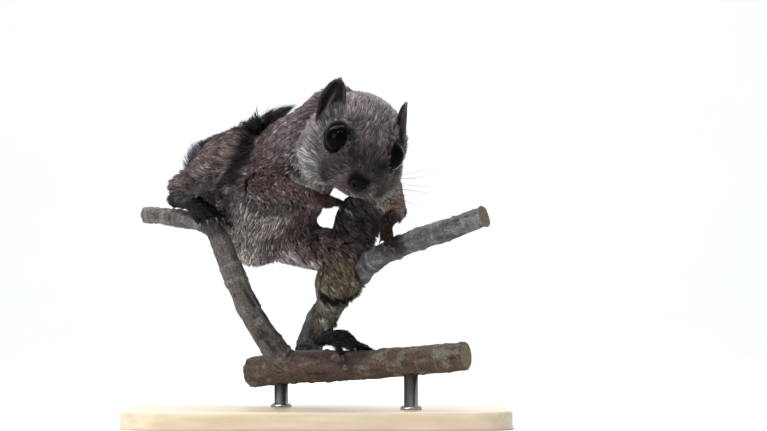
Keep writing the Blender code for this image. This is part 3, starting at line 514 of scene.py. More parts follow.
# %% Tips of the digits
TIP_SPACING, TIP_NEAR, TIP_THIN, TIP_POINTS, TIP_FROM = 1.9, 2.8, 0.8, 10, 0.3
PAW_LIMBS = {"hand": "forearm", "foot": "shank"}


def digit_tips(name):
    """The claw tips of a paw and the directions in which they point."""
    points = np.unique(points_of(nodes[name].data).round(2), axis=0)
    part, side = name.split("_")
    from_limb = np.linalg.norm(points - middle_of(f"{PAW_LIMBS[part]}_{side}"), axis=1)
    apart = np.linalg.norm(points[:, None] - points[None], axis=2)
    highest = np.where(apart < TIP_SPACING, from_limb[None], 0).max(axis=1)
    reach = from_limb - from_limb.min()
    tips, ways = [], []
    for peak in np.flatnonzero((highest <= from_limb) & (reach > TIP_FROM * reach.max())):
        near = points[apart[peak] < TIP_NEAR] - points[peak]
        way = unit(-near.mean(axis=0))
        thickness = np.linalg.norm(near - (near @ way)[:, None] * way, axis=1).mean()
        if len(near) >= TIP_POINTS and thickness < TIP_THIN:
            tips.append(points[peak])
            ways.append(way)
    return np.array(tips), np.array(ways)


paw_tips = {name: digit_tips(name) for name in PAWS}
all_tips = np.vstack([tips for tips, _ in paw_tips.values()])
for name, (tips, _) in paw_tips.items():
    print(name, len(tips), "digits", end=", ")

# %% [markdown]
# The wrap follows the solids, so it still shows their joints. The body is relaxed so that they
# fade, and the paws, whose toes would melt away, hardly at all. Then the skin sinks by the depth
# that the coat takes up, so that the tips of the hair reach the true outline and not the skin. It
# stays in place round the eyes, the nose and the mouth, where the hair is very short. The step
# between head and neck is the deepest, so it is relaxed once more on its own.

# %% Relaxed skin under the coat
# How far each part's seams are eased, its coat's depth, and its hair's length, width, lift and
# count on a square millimetre
MEASURES = {
    "head": (0.55, 0.8, 2.7, 0.23, 0.40, 12.0),
    "neck": (1.0, 2.1, 5.2, 0.36, 0.42, 6.2),
    "torso_front": (1.0, 2.3, 5.6, 0.39, 0.42, 5.6),
    "torso_rear": (1.0, 2.3, 5.6, 0.39, 0.42, 4.8),
    "upper_arm": (1.0, 1.6, 4.4, 0.33, 0.38, 6.6),
    "forearm": (0.7, 0.9, 2.8, 0.27, 0.36, 11.5),
    "thigh": (1.0, 1.8, 4.8, 0.36, 0.40, 5.4),
    "shank": (0.8, 1.2, 3.2, 0.29, 0.38, 9.5),
    "hand": (0.03, -0.3, 1.25, 0.15, 0.25, 16.0),
    "foot": (0.05, -0.28, 1.6, 0.18, 0.28, 13.0),
    "membrane": (0.8, 0.5, 3.2, 0.26, 0.22, 6.2),
    "tail": (0.9, 0.0, 4.0, 0.3, 0.45, 7.5),
}
SEAM_EASING, COAT_DEPTH, HAIR_LENGTH, HAIR_WIDTH, HAIR_LIFT, HAIR_COUNT = (
    dict(zip(MEASURES, column)) for column in zip(*MEASURES.values())
)
EASING_ROUNDS, NAPE_SPREAD, NAPE_ROUNDS = 16, 40, 70
TIP_SINKS = 0.35

EYES_AT = np.array([6.2, 0.0, 4.2])
HEAD_AXES = np.stack([head_forward, head_left, head_up])

skin += (eased(skin, EASING_ROUNDS) - skin) * of_parts(SEAM_EASING, 8)[:, None]
headward, neckward = (
    eased((skin_part == PARTS.index(part)).astype(float), NAPE_SPREAD) for part in ("head", "neck")
)
nape = np.clip(4 * headward * neckward, 0, 1) ** 0.5
skin += (eased(skin, NAPE_ROUNDS) - skin) * nape[:, None]


def in_head(points):
    """Points as forward, left and up of the head's middle, in millimetres."""
    return (points - between_eyes) @ HEAD_AXES.T + EYES_AT


def from_head(points):
    """The way back from the head's frame to the model's own."""
    return between_eyes + (np.asarray(points) - EYES_AT) @ HEAD_AXES


def away(points, place):
    """Distance of each point from a place."""
    return np.linalg.norm(points - np.asarray(place), axis=-1)


EYE_MIDDLES = (eye_right_middle, eye_left_middle)
NOSE_PLACE, MOUTH_PLACE = (18.9, 0.0, -2.5), (17.0, 0.0, -7.0)
skin_head = in_head(skin)
eye_near = np.minimum(*(away(skin, middle) for middle in EYE_MIDDLES))
nose_near, mouth_near = away(skin_head, NOSE_PLACE), away(skin_head, MOUTH_PLACE)


def clear_of_face(eye, nose, mouth):
    """0 at the eyes, the nose and the mouth and 1 away from them, by two distances for each."""
    return blend(*eye, eye_near) * blend(*nose, nose_near) * blend(*mouth, mouth_near)


room = clear_of_face((4.9, 8.5), (2.5, 7.0), (2.5, 8.0))
tip_near = np.min([away(skin, tip) for tip in all_tips], axis=0)
coat_depth = of_parts(COAT_DEPTH, 6) * room + TIP_SINKS * (1 - blend(0.9, 2.4, tip_near))
skin -= normals_of(skin, skin_faces) * (SEAM_GROWTH + coat_depth)[:, None]
skin_normals = normals_of(skin, skin_faces)
skin_head = in_head(skin)
print("coat depth in mm", coat_depth.min().round(2), "to", coat_depth.max().round(2))

# %% [markdown]
# Hair grows away from the nose, over the crown, down the neck and back to the tail, and along
# each limb to the paw. Every skin point gets that direction from its own part, smoothed across
# the joints and laid flat against the skin.

# %% Lie of the coat
SPINE_LINE = (
    (7.2, -39.5, 97.6), (2.8, -29.0, 95.4), (-4.0, -14.0, 91.0), (-9.0, -3.0, 87.0),
    (-13.0, 8.0, 82.0), (-17.0, 17.0, 75.5), (-20.5, 25.0, 70.0), (-23.5, 32.5, 66.0),
)
LIMB_CHAINS = (("torso_front", "upper_arm", "forearm", "hand"), ("torso_rear", "thigh", "shank", "foot"))
HAIR_PARTING, HAIR_FALL, HEAD_SWEEP, LIE_ROUNDS = (20.0, 0.0, -1.0), (0.0, 0.0, -0.18), 0.35, 24
spine = smooth_curve(SPINE_LINE, 120)
spine_tangent = frames_on(spine, (1.0, 0.0, 0.0))[0]
spine_at = nearest(skin, spine)
lie = spine_tangent[spine_at] + HAIR_FALL
outward = unit(skin - spine[spine_at])

head_skin = skin_part == PARTS.index("head")
from_nose = unit(skin - from_head(HAIR_PARTING))
lie[head_skin] = (from_nose - HEAD_SWEEP * head_forward)[head_skin]
for chain in LIMB_CHAINS:
    for side in SIDES:
        names = [chain[0], *(f"{part}_{side}" for part in chain[1:])]
        joints = [middle_of(name) for name in names]
        for name, start, end in zip(names[1:], joints, joints[1:]):
            lie[skin_part == PARTS.index(name)] = unit(end - start)
for side in SIDES:
    of_side = skin_part == PARTS.index(f"membrane_{side}")
    lie[of_side] = (0.5 * spine_tangent[spine_at] + outward)[of_side]
tail_path, tail_tangent, tail_across, tail_above = tail_line(160)
tail_skin = skin_part == PARTS.index("tail")
lie[tail_skin] = tail_tangent[nearest(skin[tail_skin], tail_path)]
lie = eased(unit(lie), LIE_ROUNDS)


def laid(directions, normals):
    """Directions laid flat against surfaces with these normals."""
    return unit(directions - (directions * normals).sum(axis=-1, keepdims=True) * normals)


lie = laid(lie, skin_normals)
print("the lie of the coat at", len(lie), "points")

# %% [markdown]
# The coat is grey-brown above and pale grey below. Each animal's marks sit at fixed places, so they
# are written as spots: a place, the radii between which a spot fades, a colour and its strength.
# Some spots are painted shade, in gaps, creases and furrows and under the cheeks, and one is a
# painted highlight where light shines through the tail's hair.
# Spots on the head are given in the head's frame and mirrored unless only one side has them. The
# skin and every tuft that grows from it take their colour from the same table of skin points.

# %% Colours of the coat
BASE_COAT = {
    "head": "#8D8084",
    "neck": "#776363",
    "torso_front": "#735F5E",
    "torso_rear": "#766565",
    "upper_arm": "#6F5958",
    "forearm": "#6E5855",
    "forearm_left": "#A58C7A",
    "upper_arm_left": "#887570",
    "hand": "#583F37",
    "thigh": "#7A6864",
    "shank": "#7C6963",
    "shank_left": "#8A7F6A",
    "foot": "#3F4045",
    "membrane": "#5A5153",
    "tail": "#554C4D",
}
BELLY = "#BFB8B6"
EYE_RIM = "#0A0809"
# Forward, left and up of the head's middle, the sides that have it, the radii, the colour and its
# strength
BOTH, RIGHT, ONCE = (1, -1), (-1,), (1,)
HEAD_SPOTS = (
    ((0.1, 12.8, 8.0), BOTH, 2.0, 5.5, "#9E989B", 0.6),
    ((1.2, 14.8, 0.4), BOTH, 2.0, 7.0, "#8E8587", 0.6),
    ((10.4, 9.8, -1.2), BOTH, 2.0, 4.6, "#8F8483", 0.5),
    ((5.0, 14.2, -9.2), BOTH, 3.2, 7.0, "#D0CACA", 0.9),
    ((0.2, 16.0, -10.5), BOTH, 2.0, 5.0, "#B5AEAE", 0.7),
    ((10.7, 11.3, -7.8), BOTH, 1.8, 4.6, "#C2B9B7", 0.8),
    # Painted shade: behind the right cheek and under the cheeks, in the next four spots
    ((-0.5, 17.3, -6.4), RIGHT, 0.8, 2.3, "#2B2626", 0.8),
    ((0.0, 13.0, -14.5), BOTH, 1.5, 4.5, "#2B2525", 0.85),
    ((3.6, 12.6, -14.2), RIGHT, 0.8, 3.0, "#241E1E", 0.85),
    ((6.0, 9.8, -15.0), RIGHT, 0.8, 3.0, "#241E1E", 0.85),
    # Painted shade with dark fur: the bridge of the nose and the sides of the muzzle, in the next five spots
    ((15.4, 0.0, 4.5), ONCE, 3.0, 7.5, "#564A48", 0.75),
    ((14.6, 8.2, -0.6), BOTH, 2.5, 6.0, "#4F4644", 0.7),
    ((15.6, 5.0, 3.4), BOTH, 1.5, 4.5, "#423A3C", 0.7),
    ((12.6, 10.4, -5.0), BOTH, 1.6, 4.4, "#3C3432", 0.8),
    ((14.6, 9.0, -6.6), BOTH, 1.4, 4.0, "#3C3432", 0.8),
    ((18.2, 5.2, -3.4), BOTH, 1.0, 2.8, "#B0917F", 0.8),
    ((7.8, 11.8, -1.0), BOTH, 1.0, 3.4, "#A39595", 0.6),
    ((0.7, 8.9, 11.3), BOTH, 1.5, 5.0, "#9E979E", 0.4),
    # Painted shade with dark fur: a band from the brow down to the nose, in the next five spots
    ((4.6, 7.3, 10.9), BOTH, 0.5, 2.0, "#322E33", 0.7),
    ((8.0, 6.9, 9.9), BOTH, 0.6, 2.1, "#2C282D", 0.8),
    ((11.0, 6.5, 8.2), BOTH, 0.7, 2.3, "#29252A", 0.85),
    ((13.6, 6.0, 6.3), BOTH, 0.7, 2.3, "#2A2528", 0.85),
    ((16.0, 5.1, 4.4), BOTH, 0.6, 2.1, "#2C2729", 0.8),
    ((20.0, 0.0, -2.0), ONCE, 2.6, 4.4, "#130F11", 0.97),
    ((11.7, 10.5, -3.0), ONCE, 2.0, 5.5, "#8A6E60", 0.75),
    ((5.1, 13.0, -4.0), ONCE, 2.0, 5.0, "#85705F", 0.6),
    ((11.0, 0.0, -10.0), ONCE, 3.0, 7.0, "#BBB4B0", 0.85),
)
# The same for the body: the radii, the colour, its strength, and every place in the model's frame
BODY_SPOTS = (
    # Pale place on the neck
    (5.0, 13.0, "#93868A", 0.7, (-10.4, -31.8, 99.5)),
    # Painted shade: a dark line down the neck to the front of the trunk, in the gap behind the cheek
    (1.5, 3.2, "#2A2424", 0.85, (-9.8, -36.3, 93.0), (-10.8, -33.0, 89.8)),
    (1.8, 4.2, "#211C1C", 0.9, (-8.4, -31.4, 85.4), (-6.0, -30.4, 82.8)),
    (1.3, 3.0, "#232021", 0.9, (-3.9, -28.1, 81.3)),
    (1.3, 3.1, "#232021", 0.9, (-1.3, -24.0, 79.2)),
    # Shade on the right forearm
    (3.0, 9.0, "#4E3F3E", 0.55, (-18.6, -36.0, 82.0)),
    # Dark rim along the top of the right shank
    (1.0, 3.0, "#393234", 0.75,
     (-38.0, 5.0, 95.8), (-35.2, 2.2, 97.4), (-32.4, 1.2, 99.0), (-29.3, 0.4, 100.6),
     (-26.2, -0.8, 101.4)),
    # Painted shade in the furrow between the right leg and the trunk, down the folded membrane
    (1.4, 3.6, "#151010", 0.92, (-21.4, -4.4, 99.8)),
    (1.6, 4.0, "#151010", 0.92, (-22.2, -6.4, 96.2)),
    (1.6, 4.2, "#151010", 0.92, (-23.4, -7.6, 92.7)),
    (1.8, 4.4, "#151010", 0.92, (-25.6, -7.4, 89.4)),
    (1.8, 4.6, "#151010", 0.92, (-28.2, -7.2, 86.1), (-31.0, -6.8, 83.0)),
    (1.2, 3.6, "#151010", 0.9, (-20.4, -11.0, 94.6)),
    (1.4, 4.0, "#151010", 0.9, (-22.6, -10.4, 90.6)),
    (1.4, 4.2, "#151010", 0.9, (-25.6, -9.4, 87.0)),
    (2.0, 5.4, "#151010", 0.9, (-27.5, -12.5, 83.0)),
    (2.0, 5.0, "#1A1414", 0.85, (-31.0, -9.5, 80.0)),
    # Painted highlight on the middle of the tail, where light shines through the hairs
    (3.0, 7.0, "#A6A6AA", 0.7, (-45.0, 31.0, 92.0)),
    # Pale low end of the left shank, and the dark band above it
    (1.8, 4.4, "#C9C7C8", 0.85, (1.1, 5.7, 36.3)),
    (1.2, 3.4, "#BFBCBC", 0.75, (5.5, 3.1, 37.6)),
    (1.4, 3.4, "#1C1715", 0.92,
     (1.2, -0.8, 44.8), (4.6, -1.6, 44.0), (7.8, -1.6, 43.6), (10.4, -1.2, 43.8)),
)
# Light that goes from tuft to tuft deepens their colour, so the table is greyed a little
SATURATION = 0.9
LIP_COLOUR, LIP_REACH = "#C2B9B6", (0.5, 1.5)
RIM_REACH, SPOT_RAGGED, TINT_ROUNDS = (5.1, 5.8), 0.22, 90
# Which way the back faces at the neck and at the rump, and how far a surface faces the other way
# where the belly's colour begins and where it is full
BACK_FACES, BELLY_FROM = np.array([[0.44, 0.0, 0.90], [0.62, 0.0, 0.78]]), (0.5, 0.85)
MOUTH_MIDDLE, MOUTH_HALF, MOUTH_BACK = np.array([17.6, 0.0, -7.3]), 5.9, 7.6


def mouth_line(count):
    """The mouth in the head's frame: back and down from its middle by the power 1.5 of the way out."""
    t = np.linspace(-1, 1, count)
    back = np.abs(t) ** 1.5
    return MOUTH_MIDDLE + np.stack([-MOUTH_BACK * back, MOUTH_HALF * t, -back], axis=1)


spot_noise = noise(skin, 2.2, 31)


def with_spot(tint, distance, inner, outer, colour, strength):
    """Colours mixed with a spot's colour where the distance is under its radii, with a ragged edge."""
    ragged = distance * (1 + SPOT_RAGGED * spot_noise)
    share = (strength * (1 - blend(inner, outer, ragged)))[:, None]
    return mixed(tint, levels(colour), share)


def coat_colours():
    """The colour of every skin point: its part's own, the belly, the spots, the lips and the eyes' rims."""
    names = [part if part in BASE_COAT else sideless(part) for part in PARTS]
    tint = eased(np.array([levels(BASE_COAT[name]) for name in names])[skin_part], TINT_ROUNDS)
    dorsal = unit(mixed(*BACK_FACES, spine_at[:, None] / len(spine)))
    pale_below = dict.fromkeys(COAT_DEPTH, 1.0) | dict.fromkeys(("head", "hand", "foot", "tail"), 0.0)
    trunk = of_parts(pale_below | {"forearm": 0.5, "shank": 0.5, "upper_arm": 0.7}, 10)
    below = blend(*BELLY_FROM, -(skin_normals * dorsal).sum(axis=1)) * trunk
    tint = mixed(tint, levels(BELLY), below[:, None])
    head_share = of_parts({part: float(part == "head") for part in COAT_DEPTH}, 2)
    for place, sides_of_it, inner, outer, colour, strength in HEAD_SPOTS:
        for side in sides_of_it:
            distance = away(skin_head, np.array(place) * (1, side, 1))
            tint = with_spot(tint, distance, inner, outer, colour, strength * head_share)
    for inner, outer, colour, strength, *places in BODY_SPOTS:
        for place in places:
            tint = with_spot(tint, away(skin, place), inner, outer, colour, strength)
    lips = np.min([away(skin_head, place) for place in mouth_line(25)], axis=0)
    tint = with_spot(tint, lips, *LIP_REACH, LIP_COLOUR, 0.8)
    tint = with_spot(tint, eye_near, *RIM_REACH, EYE_RIM, 0.95)
    grey = tint.mean(axis=1, keepdims=True)
    tint = grey + (tint - grey) * SATURATION
    mottle = 1 + 0.08 * noise(skin, 6.0, 41) + 0.10 * noise(skin, 1.6, 42)
    return np.clip(tint * mottle[:, None], 0, 1)


skin_tint = coat_colours()
print("coat colours from", skin_tint.min().round(2), "to", skin_tint.max().round(2))

# %% [markdown]
# Baked colours need a map of the skin that doesn't overlap itself. Each part is rolled out like
# the label of a bottle: the angle round its longest axis gives one direction, the way along that
# axis the other, and each part gets its own cell of the map.

# %% Unwrap of the skin
MAP_COLUMNS, MAP_ROWS, MAP_FILL = 5, 4, 0.88


def part_axes():
    """Each part's middle, its longest axis, two more across it, and its span along the first."""
    rows = []
    for number in range(len(PARTS)):
        points = skin[skin_part == number]
        middle = points.mean(axis=0)
        axes = np.linalg.svd(points - middle, full_matrices=False)[2]
        axes[2] = np.cross(axes[0], axes[1])
        along = (points - middle) @ axes[0]
        rows.append((middle, axes, along.min(), along.max()))
    return [np.array(column) for column in zip(*rows)]


axis_middles, axis_frames, axis_lows, axis_highs = part_axes()


def on_map(points, part, turn_from=None):
    """Places on the map: the turn round the part's axis and the way along it, inside the part's cell."""
    local = np.einsum("nij,nj->ni", axis_frames[part], points - axis_middles[part])
    turn = np.arctan2(local[:, 2], local[:, 1]) / math.tau + 0.5
    if turn_from is not None:
        turn = turn_from + (turn - turn_from + 0.5) % 1.0 - 0.5
    along = (local[:, 0] - axis_lows[part]) / (axis_highs[part] - axis_lows[part])
    cell = np.stack([part % MAP_COLUMNS, part // MAP_COLUMNS], axis=1) + 0.5
    spread = (np.stack([turn, np.clip(along, 0, 1)], axis=1) - 0.5) * MAP_FILL
    return (cell + spread) / (MAP_COLUMNS, MAP_ROWS), turn


def mapped_faces(points, faces, part):
    """The map's place for each face's corners: they keep to the cell and the turn of its first one."""
    _, first_turn = on_map(points[faces[:, 0]], part)
    corners = [on_map(points[faces[:, corner]], part, first_turn)[0] for corner in range(faces.shape[1])]
    return np.stack(corners, axis=1).reshape(-1, 2)


def set_map(thing, places):
    """Writes the map named OFBake from one place per face corner."""
    layer = thing.data.uv_layers.new(name="OFBake")
    layer.data.foreach_set("uv", places.astype(np.float32).ravel())


def set_colours(thing, colours):
    """Writes sRGB colours, one per point, as the attribute that the materials read."""
    layer = thing.data.color_attributes.new("Coat", "FLOAT_COLOR", "POINT")
    opaque = np.column_stack([linear(colours), np.ones(len(colours))])
    layer.data.foreach_set("color", opaque.astype(np.float32).ravel())


print("map cells", MAP_COLUMNS * MAP_ROWS, "for", len(PARTS), "parts")

# %% [markdown]
# Under the tufts lies the underfur: short, dense, matt hair. Its colour is the coat's at half
# strength, partly the underfur's own darker tone and partly painted shade, as little light gets in
# between the tufts. It has no mesh of its own: its pattern is noise about 0.35 mm across, which
# shades the colour and dents the surface as a bump.

# %% Underfur on the skin
# Half the coat's colour: the underfur's darker tone and painted shade between the tufts
UNDERFUR_SHADE = 0.5

# Dense underfur: soft and matt, with no clear highlight
underfur = patterned(
    "underfur_on_skin", 0.85, 1.5, 0.35, [(0.3, "#8C8C8C"), (0.72, "#FFFFFF")], own_colour=True,
    bump=(0.6, 0.25), detail=4.0, rough=0.65, specular=0.08,
)

skin_piece = piece("skin", skin, skin_faces, underfur)
set_colours(skin_piece, skin_tint * UNDERFUR_SHADE)
set_map(skin_piece, mapped_faces(skin, skin_faces, skin_part[skin_faces[:, 0]]))
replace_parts(skin_piece, *FLESH, *TAIL_NODES)
print("skin", len(skin_faces) * 2, "triangles")

# %% [markdown]
# The coat is solid mesh, because hair curves and particles don't survive an export. Hairs are far
# too fine and too many to model one by one, so each tuft stands for a pinch of them that cling
# together. It is a slim blade with three sides that lies along the coat, sinks its closed root in
# the skin and ends in a point. Long tufts bend at a middle ring, and short ones are straight.

# %% Tufts as closed blades
ROOT_DEPTH = 0.22
KEEL = 0.42
WIDTH_AT_ROOT, WIDTH_AT_MIDDLE = 0.85, 1.0
STRAIGHT_FACES = np.array([[0, 1, 3], [1, 2, 3], [2, 0, 3], [2, 1, 0]])
BENT_QUADS = np.array([[0, 1, 4, 3], [1, 2, 5, 4], [2, 0, 3, 5]])
BENT_TRIANGLES = np.array([[3, 4, 6], [4, 5, 6], [5, 3, 6], [2, 1, 0]])


def ring(centre, across, above, width):
    """Three points round a centre: half a width to each side, and the keel's height above."""
    half = across * width[:, None] / 2
    return np.stack([centre - half, centre + half, centre + above * (KEEL * width)[:, None]], axis=1)


def blades(roots, tips, normals, width, middles=None):
    """Tufts as rings of three points at the root and, where it has one, at the middle, then the tip."""
    aims = tips if middles is None else middles
    across = unit(np.cross(unit(aims - roots), normals))
    above = np.cross(across, unit(aims - roots))
    rows = [ring(roots - normals * ROOT_DEPTH, across, above, width * WIDTH_AT_ROOT)]
    if middles is not None:
        rows.append(ring(middles, across, above, width * WIDTH_AT_MIDDLE))
    points = np.concatenate([*rows, tips[:, None]], axis=1)
    start = (np.arange(len(roots)) * points.shape[1])[:, None, None]
    shapes = [STRAIGHT_FACES] if middles is None else [BENT_QUADS, BENT_TRIANGLES]
    return points.reshape(-1, 3), [(shape[None] + start).reshape(-1, shape.shape[1]) for shape in shapes]


face_area = np.linalg.norm(diagonals_crossed(skin, skin_faces), axis=1) / 2
print("skin area in square mm", int(face_area.sum()))

# %% [markdown]
# The coat's measures differ from part to part. They are long and loose on the neck, back and
# thighs, shorter down the limbs, and very short on the face and the paws. Round the eyes, the nose
# and the mouth the hair is shortest of all, and it parts round the eyes instead of crossing them.

# %% Measures of the coat
CHEEK_FLUFF, FLUFF_LONGER, FLUFF_HIGHER = (5.0, 14.6, -9.4), 0.2, 0.25
# Distances within which a toe's end, an eye and the nose stay bare
BARE_TIP, BARE_EYE, BARE_NOSE = 1.2, 5.4, 3.3
EYE_PARTING = 2.2

hair_room = clear_of_face((4.4, 9.0), (2.5, 10.0), (2.0, 8.0))
# On the face the hair is shorter, finer, flatter and denser by these shares
hair_length = of_parts(HAIR_LENGTH, 30) * mixed(0.3, 1, hair_room)
hair_width = of_parts(HAIR_WIDTH, 30) * mixed(0.62, 1, hair_room)
hair_lift = of_parts(HAIR_LIFT, 30) * mixed(0.6, 1, hair_room)
hair_count = of_parts(HAIR_COUNT, 20) * mixed(1.7, 1, hair_room)
cheeks = [np.array(CHEEK_FLUFF) * (1, sign, 1) for sign in SIDES.values()]
cheek_near = np.min([away(skin_head, cheek) for cheek in cheeks], axis=0)
fluffy = 1 - blend(3.0, 7.5, cheek_near)
hair_length *= 1 + FLUFF_LONGER * fluffy
hair_lift *= 1 + FLUFF_HIGHER * fluffy
hair_length *= 0.4 + 0.6 * blend(2.0, 9.0, tip_near)
bare = (tip_near < BARE_TIP) | (eye_near < BARE_EYE) | (nose_near < BARE_NOSE)
hair_count[bare] = 0

nearer_right = away(skin, eye_right_middle) < away(skin, eye_left_middle)
nearest_eye = np.where(nearer_right[:, None], eye_right_middle, eye_left_middle)
part_round = (1 - blend(6.0, 9.5, eye_near))[:, None]
hair_lie = laid(lie + EYE_PARTING * part_round * unit(skin - nearest_eye), skin_normals)
print("hairs wanted", int((hair_count[skin_faces].mean(axis=1) * face_area).sum()))

# %% [markdown]
# Roots are scattered over the skin by a seeded generator, as many to each face as its area and the
# coat's density ask for. Hairs in a real coat cling together in clumps, which is what gives it its
# streaks, so each tuft leans towards the tip of the clump leader nearest to it, and a clump shares
# some of its lightness.

# %% Scattered and clumped tufts
COATS = {
    "coat_head_right": (["head"], -1),
    "coat_head_left": (["head"], 1),
    "coat_neck": (["neck"], 0),
    "coat_shoulders_right": (["torso_front"], -1),
    "coat_shoulders_left": (["torso_front"], 1),
    "coat_rump_right": (["torso_rear"], -1),
    "coat_rump_left": (["torso_rear"], 1),
    "coat_arms": (["upper_arm_right", "forearm_right", "upper_arm_left", "forearm_left"], 0),
    "coat_leg_right": (["thigh_right", "shank_right"], 0),
    "coat_leg_left": (["thigh_left", "shank_left"], 0),
    "coat_paws": (PAWS, 0),
    "coat_membranes": (MEMBRANES, 0),
    "coat_tail_core": (["tail"], 0),
}
BENT_FROM = 3.0
CLUMP_SPACING = {"coat_head": 1.15, "coat_paws": 0.9, "coat_arms": 1.3}
CLUMP_SPACING_ELSEWHERE = 1.75
CLUMP_PULL, CLUMP_CONTRAST = 0.55, 0.15
DARK_SHARE, PALE_SHARE = 0.18, 0.15
DARK_SHADES, PLAIN_SHADES, PALE_SHADES = (0.48, 0.72), (0.86, 1.18), (1.25, 1.55)
ROOT_SHADE, MIDDLE_SHADE = 0.52, 0.92
PATCH_HALF, PATCH_TURN = 0.0015, 2.4
# How much the tufts of a part differ in length, width and lift, and how unevenly they sway
LENGTH_SPREAD, WIDTH_SPREAD, LIFT_SPREAD = (0.72, 1.25), (0.7, 1.3), (0.55, 1.35)
SWAY_BROAD, SWAY_FINE, SWAY_LOOSE, DROOP = 0.26, 0.16, 0.13, 0.5
TIP_SCATTER, CLUMP_OPEN, CLUMP_VARIES = 0.15, 0.35, 0.15
ACROSS_SPINE = np.array([0.92, 0.26, -0.30])
spine_side = np.sign((skin - spine[spine_at]) @ ACROSS_SPINE)
head_side = np.sign(skin_head[:, 1])

# Short guard hair in tufts: a faint gloss, darker at the root, paler at the tip
guard_hair = patterned(
    "guard_hair", 0.58, 1.55, 0.25, [(0.3, "#C4C0BE"), (0.7, "#FFFFFF")], own_colour=True, specular=0.12
)


def agouti(count, rng):
    """The lightness of each tuft: most are plain, some dark and some pale, as flecks in the coat."""
    kind = rng.uniform(size=count)
    plain, dark, pale = (rng.uniform(*shades, count) for shades in (PLAIN_SHADES, DARK_SHADES, PALE_SHADES))
    return np.where(kind < DARK_SHARE, dark, np.where(kind > 1 - PALE_SHARE, pale, plain))


def scattered(faces, rng):
    """Seeded roots on some of the skin's faces: the face of each, and its four corners' shares."""
    wanted = hair_count[skin_faces[faces]].mean(axis=1) * face_area[faces]
    total = int(wanted.sum())
    steps = (np.arange(total) + rng.uniform(0, 1, total)) / total * wanted.sum()
    chosen = faces[np.minimum(np.searchsorted(np.cumsum(wanted), steps), len(faces) - 1)]
    a, b = rng.uniform(0, 1, (2, total))
    return chosen, np.stack([(1 - a) * (1 - b), a * (1 - b), a * b, (1 - a) * b], axis=1)


def dressed(name, points, faces, tint, shade, places):
    """A coat piece with colours that pale from each root to its tip, and each tuft's patch on the map."""
    count = len(tint)
    steps = [ROOT_SHADE] * 3 + [MIDDLE_SHADE] * (len(points) // count - 4) + [1.0]
    shades = np.array(steps) * (1 + (shade[:, None] - 1) * np.linspace(0.3, 1, len(steps)))
    coat = piece(name, points, faces, guard_hair)
    set_colours(coat, np.clip(tint[:, None] * shades[..., None], 0, 1).reshape(-1, 3))
    turn = np.arange(len(steps)) * PATCH_TURN
    spots = (places[:, None] + np.stack([np.cos(turn), np.sin(turn)], axis=1) * PATCH_HALF).reshape(-1, 2)
    set_map(coat, spots[np.concatenate([group.ravel() for group in faces])])
    triangles = sum(len(group) * (group.shape[1] - 2) for group in faces)
    print(f"{name}: {count} tufts, {triangles} triangles")
    return triangles


def grown_coat(name, parts, side, rng):
    """One piece of the coat: blades from scattered roots, clumped, coloured and mapped."""
    numbers = [PARTS.index(part) for part in parts]
    first = skin_faces[:, 0]
    sides_here = head_side if parts == ["head"] else spine_side
    chosen = np.isin(skin_part[first], numbers) & ((side == 0) | ((sides_here[first] > 0) == (side > 0)))
    face, share = scattered(np.flatnonzero(chosen), rng)
    count = len(face)

    def here(values):
        """Values of the skin's points at the roots."""
        return np.einsum("nk,nk...->n...", share, values[skin_faces[face]])

    roots, normals = here(skin), unit(here(skin_normals))
    length = here(hair_length) * rng.uniform(*LENGTH_SPREAD, count)
    width = here(hair_width) * rng.uniform(*WIDTH_SPREAD, count)
    lift = here(hair_lift) * rng.uniform(*LIFT_SPREAD, count)
    aside = np.cross(normals, here(hair_lie))
    sway = SWAY_BROAD * noise(roots, 5.0, 51) + SWAY_FINE * noise(roots, 1.8, 52)
    sway += rng.normal(0, SWAY_LOOSE, count)
    heading = laid(here(hair_lie) + aside * sway[:, None], normals)
    droop = DROOP * length / 14
    reach = heading + normals * (lift - droop)[:, None]
    tips = roots + reach * length[:, None]
    spacing = CLUMP_SPACING.get(sideless(name), CLUMP_SPACING_ELSEWHERE)
    leaders = rng.choice(count, max(2, int(face_area[chosen].sum() / spacing**2)), replace=False)
    leader = leaders[nearest(roots, roots[leaders])]
    together = np.clip(rng.normal(CLUMP_PULL, CLUMP_VARIES, count), 0, 0.8)[:, None]
    drawn = tips[leader] + rng.normal(0, TIP_SCATTER, (count, 3)) + (roots - roots[leader]) * CLUMP_OPEN
    tips = mixed(tips, drawn, together)
    bent = np.median(length) > BENT_FROM
    rise = normals * (length * (0.16 * lift + 0.25 * droop))[:, None]
    points, faces = blades(roots, tips, normals, width, (roots + tips) / 2 + rise if bent else None)
    shade = agouti(count, rng) * rng.normal(1, CLUMP_CONTRAST, count).clip(0.5, 1.5)[leader]
    places = on_map(roots, skin_part[first[face]])[0]
    return dressed(name, points, faces, here(skin_tint), shade, places)


draws = np.random.default_rng(20)
coat_triangles = sum(grown_coat(name, *about, draws) for name, about in COATS.items())
print("coat triangles so far", coat_triangles)

# %% [markdown]
# The tail is a feather: its long hair is combed out to the two sides, and it bends with the tail.
# A hair that leaves the core at one place ends further along the tail's own curve and out to the
# side, so its tip is found on that curve. Past the tail's end the curve goes straight on.

# %% Fringe of the tail
FRINGE_TUFTS = 15000
FRINGE_REACH, FRINGE_SWEEP, FRINGE_WIDTH = 9.0, (6.0, 9.0), 0.3
FRINGE_CORE, FRINGE_LIFT, FRINGE_BEND = 1.6, 0.9, (0.45, 0.62)
SWEEP_SPREAD, REACH_SPREAD, FRINGE_WIDTHS = (0.6, 1.12), (0.85, 1.08), (0.6, 1.25)
RIM_COLOUR, RIM_SHARE = "#55555A", 0.7
